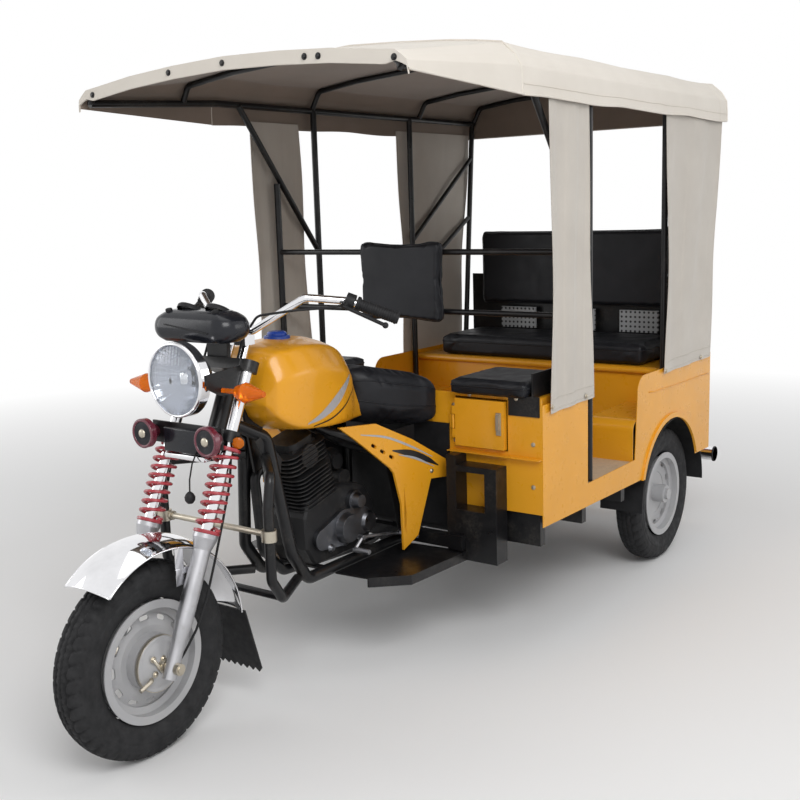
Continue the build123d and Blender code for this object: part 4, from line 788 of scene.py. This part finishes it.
TANK = tank()
COVERS = NODES["side_covers"]
decal("tank_swoosh", TANK, [(560, 834, 2), (630, 850, 11), (706, 886, 17), (772, 934, 9), (790, 952, 1.5)],
      SILVER_STRIPE)
decal("tank_line", TANK, [(590, 822, 1.6), (680, 832, 2.6), (762, 862, 2.6), (822, 900, 1.4)],
      BLACK_STRIPE, 0.9)
decal("cover_line", COVERS, [(780, 762, 1.5), (880, 738, 3.5), (980, 692, 3.5), (1075, 640, 1.2)],
      SILVER_STRIPE)
decal("cover_swoosh", COVERS, [(905, 690, 2), (980, 668, 11), (1050, 636, 9), (1100, 606, 1.5)],
      BLACK_STRIPE)
decal("cover_swoosh_light", COVERS, [(930, 672, 1), (1000, 648, 4), (1080, 606, 1)], SILVER_STRIPE, 1.1)
bolts("cover_screws", [(138 + 8 + 0.2317 * (1070 - 699) + 2, 1070, 592)], (1, -0.23, 0), 5, "chassis")
CAP_RIBS = [(0, 40.6), (3, 41)] + [(4 + 2 * k, 41 - (k % 2)) for k in range(8)] + [(21, 38), (23, 33)]
turned("cap_ribs", CAP_RIBS, at(0, 600, 1067), (0, 0, 1), "blue_plastic", "chassis", 60)


# Cushions

def soft(made, node):
    """Common closing steps of a cushion, which replaces a node where one is given."""
    made.data.materials.clear()
    made.data.materials.append(look("black_vinyl"))
    for polygon in made.data.polygons:
        polygon.use_smooth = True
    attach(made, "chassis")
    if node:
        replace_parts(made, node)


PRESSURE = 4.0
PUFF_FRAMES = 14
STIFFNESS = 15


def puff(made, voxel, cap):
    """Blows the closed mesh up as cloth from inside, with each point's move capped."""
    modifier(made, "REMESH", mode="VOXEL", voxel_size=voxel * 1)
    bake(made)
    before = [v.co.copy() for v in made.data.vertices]
    cloth = modifier(made, "CLOTH")
    cloth.settings.use_pressure = True
    cloth.settings.uniform_pressure_force = PRESSURE
    cloth.settings.effector_weights.gravity = 0
    cloth.settings.quality = 4
    cloth.settings.tension_stiffness = cloth.settings.compression_stiffness = STIFFNESS
    cloth.point_cache.frame_start, cloth.point_cache.frame_end = 1, PUFF_FRAMES
    for step in range(1, PUFF_FRAMES + 1):
        bpy.context.scene.frame_set(step)
    bake(made)
    for v, start in zip(made.data.vertices, before):
        move = v.co - start
        if move.length > cap:
            v.co = start + move.normalized() * cap
    bpy.context.scene.frame_set(1)


PIPING_R = 3.2
PIPING_POINTS = 150
SQUARENESS = 0.35  # power that turns the round of directions towards the corners


def piping(name, made, level, axis):
    """Sewn piping round a cushion at one level along an axis, found on its surface from outside."""
    tree = surface_of(made)
    low = Vector([min(v.co[i] for v in made.data.vertices) for i in range(3)])
    high = Vector([max(v.co[i] for v in made.data.vertices) for i in range(3)])
    centre, half = (low + high) / 2, (high - low) / 2
    others = [i for i in range(3) if i != axis]
    line = []
    for k in range(PIPING_POINTS):
        turn = math.tau * (k + 0.5) / PIPING_POINTS
        way = [math.copysign(abs(c) ** SQUARENESS, c) for c in (math.cos(turn), math.sin(turn))]
        start = centre.copy()
        start[axis] = level
        aim = start.copy()
        for i, w in zip(others, way):
            start[i] += w * half[i] * 1.5
            aim[i] += w * half[i] * 0.5
        place = tree.ray_cast(start, (aim - start).normalized())[0]
        if place is not None:
            line.append(place)
    smooth = [(line[i - 1] + line[i] * 2 + line[(i + 1) % len(line)]) / 4 for i in range(len(line))]
    tube(name, smooth, PIPING_R, "black_vinyl", "chassis", 8, closed=True)


def pad(name, node, low, high, crown, voxel=0.008, cap=0.012, facing=2, level=0.7):
    """Crowned cushion: a rounded block, remeshed and blown up a little as cloth, with piping."""
    middle, half = (low + high) / 2, (high - low) / 2
    half = half - Vector((crown * 0.45,) * 3)
    work = bmesh.new()
    bmesh.ops.create_cube(work, size=2)
    bmesh.ops.subdivide_edges(work, edges=work.edges[:], cuts=9, use_grid_fill=True)
    others = [i for i in range(3) if i != facing]
    for v in work.verts:
        pinch = 1 - 0.018 * (1 - abs(v.co[others[0]]) ** 2) * (abs(v.co[others[1]]) > 0.99)
        dome = 1 + (crown / half[facing]) * (1 - v.co[others[0]] ** 4) * (1 - v.co[others[1]] ** 4) * 0.7
        place = [v.co[i] * half[i] * pinch for i in range(3)]
        if v.co[facing] > 0.99 or (facing == 1 and v.co[facing] < -0.99):
            place[facing] *= dome
        v.co = Vector(place) + middle
    bmesh.ops.smooth_vert(work, verts=work.verts[:], factor=0.5, use_axis_x=True, use_axis_y=True,
                          use_axis_z=True)
    data = bpy.data.meshes.new(name)
    work.to_mesh(data)
    work.free()
    made = linked(name, data)
    puff(made, voxel, cap)
    for v in made.data.vertices:
        for i in range(3):
            slack = 0.004 if i == facing else 0.002
            v.co[i] = min(max(v.co[i], low[i] + (0.0003 if i == 2 else 0)), high[i] + slack)
    soft(made, node)
    piping(f"{name}_piping", made, low[facing] + (high[facing] - low[facing]) * level, facing)


pad("bench_pad", "bench_cushion", *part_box("bench_cushion"), 0.016)
pad("bench_back", "bench_backrest", *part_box("bench_backrest"), 0.012, facing=1, level=0.3)
pad("driver_back", "driver_backrest", *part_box("driver_backrest"), 0.008, facing=1, level=0.5, voxel=0.006)
jump_low, jump_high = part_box("jump_seat_pads")
for name, side in SIDES:
    xs = sorted((side * 0.278, side * 0.572))
    low, high = Vector((xs[0], *jump_low[1:])), Vector((xs[1], *jump_high[1:]))
    node = "jump_seat_pads" if side > 0 else None
    pad(f"jump_pad_{name}", node, low, high, 0.01, voxel=0.006, cap=0.008, level=0.62)

SADDLE_SECTIONS = (  # y, half width, bottom, top
    (868, 72, 802, 940), (880, 86, 794, 947), (910, 110, 780, 948), (985, 150, 760, 931),
    (1069, 190, 752, 911), (1120, 217, 748, 894), (1136, 220, 752, 878))
SADDLE_Y = (866, 1139)


def saddle():
    """The saddle's cushion with two seams round its sides."""
    rings = []
    for y, half, bottom, top in curve_through(SADDLE_SECTIONS, 8):
        ring = []
        for x, z in rounded_ring(half, (top - bottom) / 2, min(34, half * 0.6)):
            crown = 7 * (1 - (x / half) ** 2) if z > 0 else 0
            ring.append(at(x, y, (top + bottom) / 2 + z + crown))
        rings.append(ring)
    made = lofted("saddle_pad", rings, look("black_vinyl"), "chassis")
    puff(made, 0.006, 0.008)
    front, rear = (at(0, y, 0).y for y in SADDLE_Y)
    for v in made.data.vertices:
        v.co.y = min(max(v.co.y, front), rear)
    soft(made, "saddle")
    tree = surface_of(made)
    for name, share in (("low", 0.36), ("high", 0.78)):
        line = []
        for side in (1, -1):
            run = []
            for y, half, bottom, top in curve_through(SADDLE_SECTIONS, 6)[2:-2]:
                level = bottom + (top - bottom) * share
                hit = tree.ray_cast(at(side * 400, y, level), Vector((-side, 0, 0)))[0]
                if hit is not None:
                    run.append(hit)
            line += run if side > 0 else run[::-1]
        tube(f"saddle_seam_{name}", line, 2.4, "black_vinyl", "chassis", 8, closed=True)


saddle()


# Canopy

ROOF_SECTION = (  # half of the cover's section at the middle, from the hem to the crown: x, z
    (631, 1770), (630, 1812), (627, 1850), (606, 1884), (562, 1922), (474, 1935), (385, 1945), (200, 1960),
    (0, 1970))
VISOR_SECTION = (
    (631, 1795), (629, 1806), (627, 1816), (612, 1829), (592, 1843), (488, 1855), (385, 1867), (200, 1879),
    (0, 1885))
COVER_Y = (1006, 2727)
VISOR_Y = (436, 1012)
BOWS = (1010, 1520, 2250, 2711)
FINENESS = 7
LINING_DROP = 3.5


def across_section(section):
    """The half section as an even run of points over both sides."""
    half = []
    for (x0, z0), (x1, z1) in zip(section, section[1:]):
        half += [(x0 + (x1 - x0) * i / FINENESS, z0 + (z1 - z0) * i / FINENESS) for i in range(FINENESS)]
    half.append(section[-1])
    return half + [(-x, z) for x, z in reversed(half[:-1])]


def sag(y):
    """How far the cloth hangs between the bows, from 0 at a bow to 1 halfway."""
    for a, b in zip(BOWS, BOWS[1:]):
        if a <= y <= b:
            return math.sin(math.pi * (y - a) / (b - a))
    return 0.0


def cloth(made, rows, held):
    """Hands the sheet back unchanged; its rows are not used."""
    return made


def cover_rows(drop, steps=86):
    """The cover's points: sagging between the bows, with a rippled hem below its shoulders."""
    rows = []
    for i in range(steps + 1):
        y = COVER_Y[0] + (COVER_Y[1] - COVER_Y[0]) * i / steps
        row = []
        for x, z in across_section(ROOF_SECTION):
            flat = max(0.0, 1 - abs(x) / 560)
            wave = noise.noise(Vector((x / 160, y / 210, 2.0)))
            z -= (9 * flat + 4) * sag(y) * (1 if z > 1860 else 0.2) + 1.6 * wave
            hem = max(0.0, (1850 - z) / 80)
            ripple = 2.2 * math.sin(y / 46) * hem + 2.5 * hem * noise.noise(Vector((y / 120, 0.3, 5.1)))
            x -= math.copysign(1, x) * (max(0.0, 1.5 + ripple)) if abs(x) > 600 else 0
            z += 3 * math.sin(y / 90 + 1) * hem * (z < 1800)
            row.append(at(x * (1 - drop / 700), y, z - drop))
        rows.append(row)
    return rows


def visor_rows(drop, steps=36):
    """The front sheet's points, from its own front section back to the cover's."""
    rows = []
    for i in range(steps + 1):
        t = i / steps
        y = VISOR_Y[0] + (VISOR_Y[1] - VISOR_Y[0]) * t
        row = []
        for (xa, za), (xb, zb) in zip(across_section(VISOR_SECTION), across_section(ROOF_SECTION)):
            dip = 5 * math.sin(math.pi * t) * max(0, 1 - abs(xa) / 600)
            row.append(at((xa + (xb - xa) * t) * (1 - drop / 700), y,
                          za + (zb - za) * t - drop - dip))
        rows.append(row)
    return rows


def gable_rows(y, foot, steps=16, billow=7):
    """The rear sheet, from the cover's section down to its own hem."""
    rows = []
    outline = across_section(ROOF_SECTION)[FINENESS:-FINENESS]
    for i in range(steps + 1):
        t = i / steps
        row = []
        for x, z in outline:
            fold = billow * math.sin(math.pi * t) * noise.noise(Vector((x / 130, t * 2, 8.0)))
            row.append(at(x * (1 - 0.006), y + abs(fold), z - 2.5 + (foot - z + 2.5) * t))
        rows.append(row)
    return rows


def sheet_from(name, rows, material, held):
    """A cloth sheet over rows of points."""
    points, faces = [p for row in rows for p in row], grid_faces(len(rows), len(rows[0]))
    return cloth(put(name, points, faces, material, "chassis", "canopy_cloth"), rows, held)


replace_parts(sheet_from("cover_cloth", cover_rows(0), "canopy_cloth", "stretched"), "canopy_cover")
sheet_from("cover_lining", cover_rows(LINING_DROP), LINING, "stretched")
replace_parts(sheet_from("visor_sheet", visor_rows(0), "canopy_cloth", "stretched"), "visor")
sheet_from("visor_lining", visor_rows(LINING_DROP), LINING, "stretched")
sheet_from("gable_cloth", gable_rows(2725.5, 1768), "canopy_cloth", "hung")
sheet_from("gable_lining", gable_rows(2722.5, 1772), LINING, "hung")


def bead(name, line, radius, sides=8, slot="canopy_cloth"):
    """Sewn bead or edge of the same cloth."""
    tube(name, line, radius, slot, "chassis", sides)


def hems():
    """Turned hems with piping along the cover's lower edges and its front and rear ends."""
    rows = cover_rows(0)
    for name, column, seam_column, out in (("left", 0, 5, 0.0008), ("right", -1, -6, -0.0008)):
        bead(f"cover_hem_{name}", [row[column] for row in rows], 3.2)
        bead(f"cover_seam_{name}", [row[seam_column] + Vector((out, 0, 0)) for row in rows], 1.4, 6)
    for name, row, radius in (("front", rows[0], 3.4), ("rear", rows[-1], 3.4), ("middle", rows[-5], 1.6)):
        bead(f"cover_bead_{name}", row, radius)
    rows = visor_rows(0)
    for name, column in (("left", 0), ("right", -1)):
        bead(f"visor_edge_{name}", [row[column] for row in rows], 3)


FASCIA_Y = 431.5
FASCIA_BOLTS = ((-217, 1863), (300, 1856), (347, 1853), (590, 1826), (-560, 1829), (0, 1869))


def fascia():
    """Stiff cream band across the front of the visor, with its fixing bolts."""
    top = across_section(VISOR_SECTION)
    points = []
    for x, z in top:
        height = 34 - 22 * max(0, (abs(x) - 560) / 71)
        ring = ((FASCIA_Y, 2), (436, 3), (438, 0), (438, -height), (434, -height - 1.5), (FASCIA_Y, -height))
        points += [at(x, y, z + dz) for y, dz in ring]
    faces = grid_faces(len(top), 6, close_columns=True)
    made = put("visor_fascia", points, faces, "canopy_cloth", "chassis")
    modifier(made, "EDGE_SPLIT", split_angle=math.radians(50))
    bake(made)
    bolts("fascia_bolts", [(x, FASCIA_Y, z) for x, z in FASCIA_BOLTS], FORWARD, 6, "chassis", "black_paint")


hems()
fascia()


# Curtains

CURTAINS = (  # name, y of the foot's front and rear, y of the top's front and rear, foot z, waist in mm
    ("front", 1186, 1496, 1186, 1456, 800, 18),
    ("rear", 2114, 2604, 2106, 2698, 798, 30),
)
CURTAIN_TOP = 1786
CURTAIN_X = 618
PANEL_TOP = 850  # below this the curtain lies outside the panel, at CLEAR_X or more
CLEAR_X = 613.5
CURTAIN_ROWS, CURTAIN_COLUMNS = 90, 96


def curtain(name, side, foot_front, foot_rear, top_front, top_rear, foot, waist):
    """A curtain gathered at its waist, with hems round it, from its foot up to the cover."""
    rows = []
    for i in range(CURTAIN_ROWS + 1):
        t = i / CURTAIN_ROWS
        z = foot + (CURTAIN_TOP - foot) * t
        front = foot_front + (top_front - foot_front) * t
        rear = foot_rear + (top_rear - foot_rear) * t
        pull = waist * math.sin(math.pi * min(1, t * 1.15)) ** 2
        row = []
        for j in range(CURTAIN_COLUMNS + 1):
            s = j / CURTAIN_COLUMNS
            y = front + (rear - front) * s + pull * (0.5 - s) * 2
            gather = math.sin(s * 13 + 1.3 * math.sin(t * 3 + s * 2) + side)
            drift = noise.noise(Vector((s * 6, t * 3, side)))
            fold = math.copysign(abs(gather) ** 0.7, gather) * 5.2 + 4 * drift
            fold += 2.2 * math.sin(s * 34 + t * 5) * max(0, t - 0.55)
            depth = CURTAIN_X + fold * (0.3 + 0.7 * math.sin(math.pi * min(1, 0.1 + t * 0.9)))
            x = side * max(depth, CLEAR_X) if z < PANEL_TOP else side * depth
            row.append(at(x, y, z + 5 * (s - 0.5) * (1 - t)))
        rows.append(row)
    label = f"curtain_{name}_{'left' if side > 0 else 'right'}"
    made = sheet_from(label, rows, "curtain_cloth", "hung")
    edges = (("hem", rows[1]), ("front_edge", [r[0] for r in rows]), ("rear_edge", [r[-1] for r in rows]))
    for part, line in edges:
        bead(f"{label}_{part}", line, 1.8, 6, "curtain_cloth")
    seam = [p + Vector((side * 0.0008, 0, 0)) for p in rows[4]]
    bead(f"{label}_seam", seam, 0.9, 6, "curtain_cloth")
    return made


curtains = [curtain(name, side, *rest) for name, *rest in CURTAINS for side in (1, -1)]
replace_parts(curtains[0], "curtains")


# Carriage details

def both_sides(places):
    return places + [(-x, y, z) for x, y, z in places]


SNAPS = [(1192, 819), (1434, 816), (2126, 804), (2499, 811)]
CREASE = ((1990, 742), (2047, 736), (2250, 731), (2488, 728), (2620, 726))
BRACKET_BOLTS = [(461, 1144, 560), (461, 1144, 600), (330, 1148, 600)]
WALL_BOLTS = [(276, 1148.7, 806), (281, 1148.7, 687), (575, 1148.7, 700), (575, 1148.7, 560)]
SEAT_BOLTS = [(516, 1146, 846), (340, 1146, 846)]
BUMPER_END = ((-3, 20), (0, 33.5), (5, 33.5), (6, 31), (6, 0))
for name, side in SIDES:
    bolts(f"snaps_{name}", [(side * 621, y, z) for y, z in SNAPS], (side, 0, 0), 6, "chassis")
    crease = [at(side * 611.5, y, z) for y, z in CREASE]
    tube(f"panel_crease_{name}", crease, 2.2, "yellow_paint", "chassis", 8)
bolts("bracket_bolts", both_sides(BRACKET_BOLTS), FORWARD, 7, "chassis", "black_paint")
bolts("wall_bolts", both_sides(WALL_BOLTS), FORWARD, 5, "chassis")
bolts("seat_bolts", both_sides(SEAT_BOLTS), FORWARD, 5, "chassis")
for name, side in SIDES:
    centre = at(side * 584, 2780, 340)
    turned(f"bumper_end_{name}", BUMPER_END, centre, (side, 0, 0), "black_rubber", "chassis", 40)


# Stage, light and camera

FLOOR_HALF = 40
WHITE_FROM, WHITE_TO = 2.0, 6.0  # distance from the object where the floor fades to white
WORLD_LEVEL = 0.36


def stage():
    """Pale floor that takes the shadow near the object and is white to the eye further out."""
    signs = ((-1, -1), (1, -1), (1, 1), (-1, 1))
    corners = [(x * FLOOR_HALF, y * FLOOR_HALF, 0) for x, y in signs]
    floor = linked("floor_plane", bpy.data.meshes.new("floor_plane"))
    floor.data.from_pydata(corners, [], [(0, 1, 2, 3)])
    m = Maker("floor_stage")
    m.set(Base_Color=(0.9, 0.9, 0.9, 1), Roughness=0.9)
    distance = m.node("ShaderNodeVectorMath", {0: m.space}, operation="LENGTH").outputs["Value"]
    far = m.math("MULTIPLY", m.ramp(distance, WHITE_FROM, WHITE_TO), m.seen())
    white = m.node("ShaderNodeEmission", {"Color": (1, 1, 1, 1), "Strength": 1.0})
    blend = m.node("ShaderNodeMixShader", {0: far, 1: m.shader.outputs[0], 2: white.outputs[0]})
    m.feed(m.first("OUTPUT_MATERIAL").inputs["Surface"], blend.outputs[0])
    floor.data.materials.append(m.material)


def world():
    """Soft even light, and white where the eye, a reflection or clear plastic shows it."""
    made = bpy.data.worlds.new("world")
    bpy.context.scene.world = made
    nodes = Nodes(made)
    background = nodes.first("BACKGROUND")
    nodes.feed(background.inputs["Color"], (1, 1, 1, 1))
    nodes.feed(background.inputs["Strength"], nodes.ramp(nodes.seen(), 0, 1, WORLD_LEVEL, 1.0))


LAMPS = (  # name, place, target, size in m, watts
    ("key", (3.6, -3.2, 4.2), (0.2, 0, 0.8), (3.0, 2.4), 160),
    ("fill", (-4.6, -3.4, 2.6), (0, -0.2, 0.9), (3.0, 3.0), 60),
    ("top", (0.4, 0.4, 5.2), (0, 0, 0.8), (4.0, 4.0), 46),
    ("side", (5.2, 2.6, 2.2), (0.2, 0.6, 0.9), (2.6, 2.2), 40),
)


def lamp(name, place, target, size, watts):
    data = bpy.data.lights.new(name, "AREA")
    data.shape = "RECTANGLE"
    data.size, data.size_y = size
    data.energy = watts
    made = linked(name, data)
    made.location = place
    made.rotation_mode = "QUATERNION"
    made.rotation_quaternion = (Vector(target) - Vector(place)).to_track_quat("-Z", "Y")


stage()
world()
for row in LAMPS:
    lamp(*row)

FRAME_PX = 800
FOCAL_PX = 1085.303
SENSOR = 36
CAMERA = {"x": 2.22082, "y": -1.83529, "z": 1.45981, "yaw": 35.9619, "pitch": 10.0770, "roll": -1.7563}


def camera():
    data = bpy.data.cameras.new("camera")
    data.sensor_width = SENSOR
    data.lens = SENSOR * FOCAL_PX / FRAME_PX
    made = linked("camera", data)
    yaw, pitch, roll = (math.radians(CAMERA[k]) for k in ("yaw", "pitch", "roll"))
    ahead = Vector((-math.sin(yaw) * math.cos(pitch), math.cos(yaw) * math.cos(pitch), -math.sin(pitch)))
    right = Vector((math.cos(yaw), math.sin(yaw), 0))
    up = right.cross(ahead)
    right_rolled = right * math.cos(roll) + up * math.sin(roll)
    up_rolled = up * math.cos(roll) - right * math.sin(roll)
    made.matrix_world = Matrix((right_rolled, up_rolled, -ahead)).transposed().to_4x4()
    made.location = (CAMERA["x"], CAMERA["y"] + AXLE_Y, CAMERA["z"])
    data.clip_start, data.clip_end = 0.05, 100
    bpy.context.scene.camera = made


camera()
bpy.context.scene.view_settings.view_transform = "Standard"
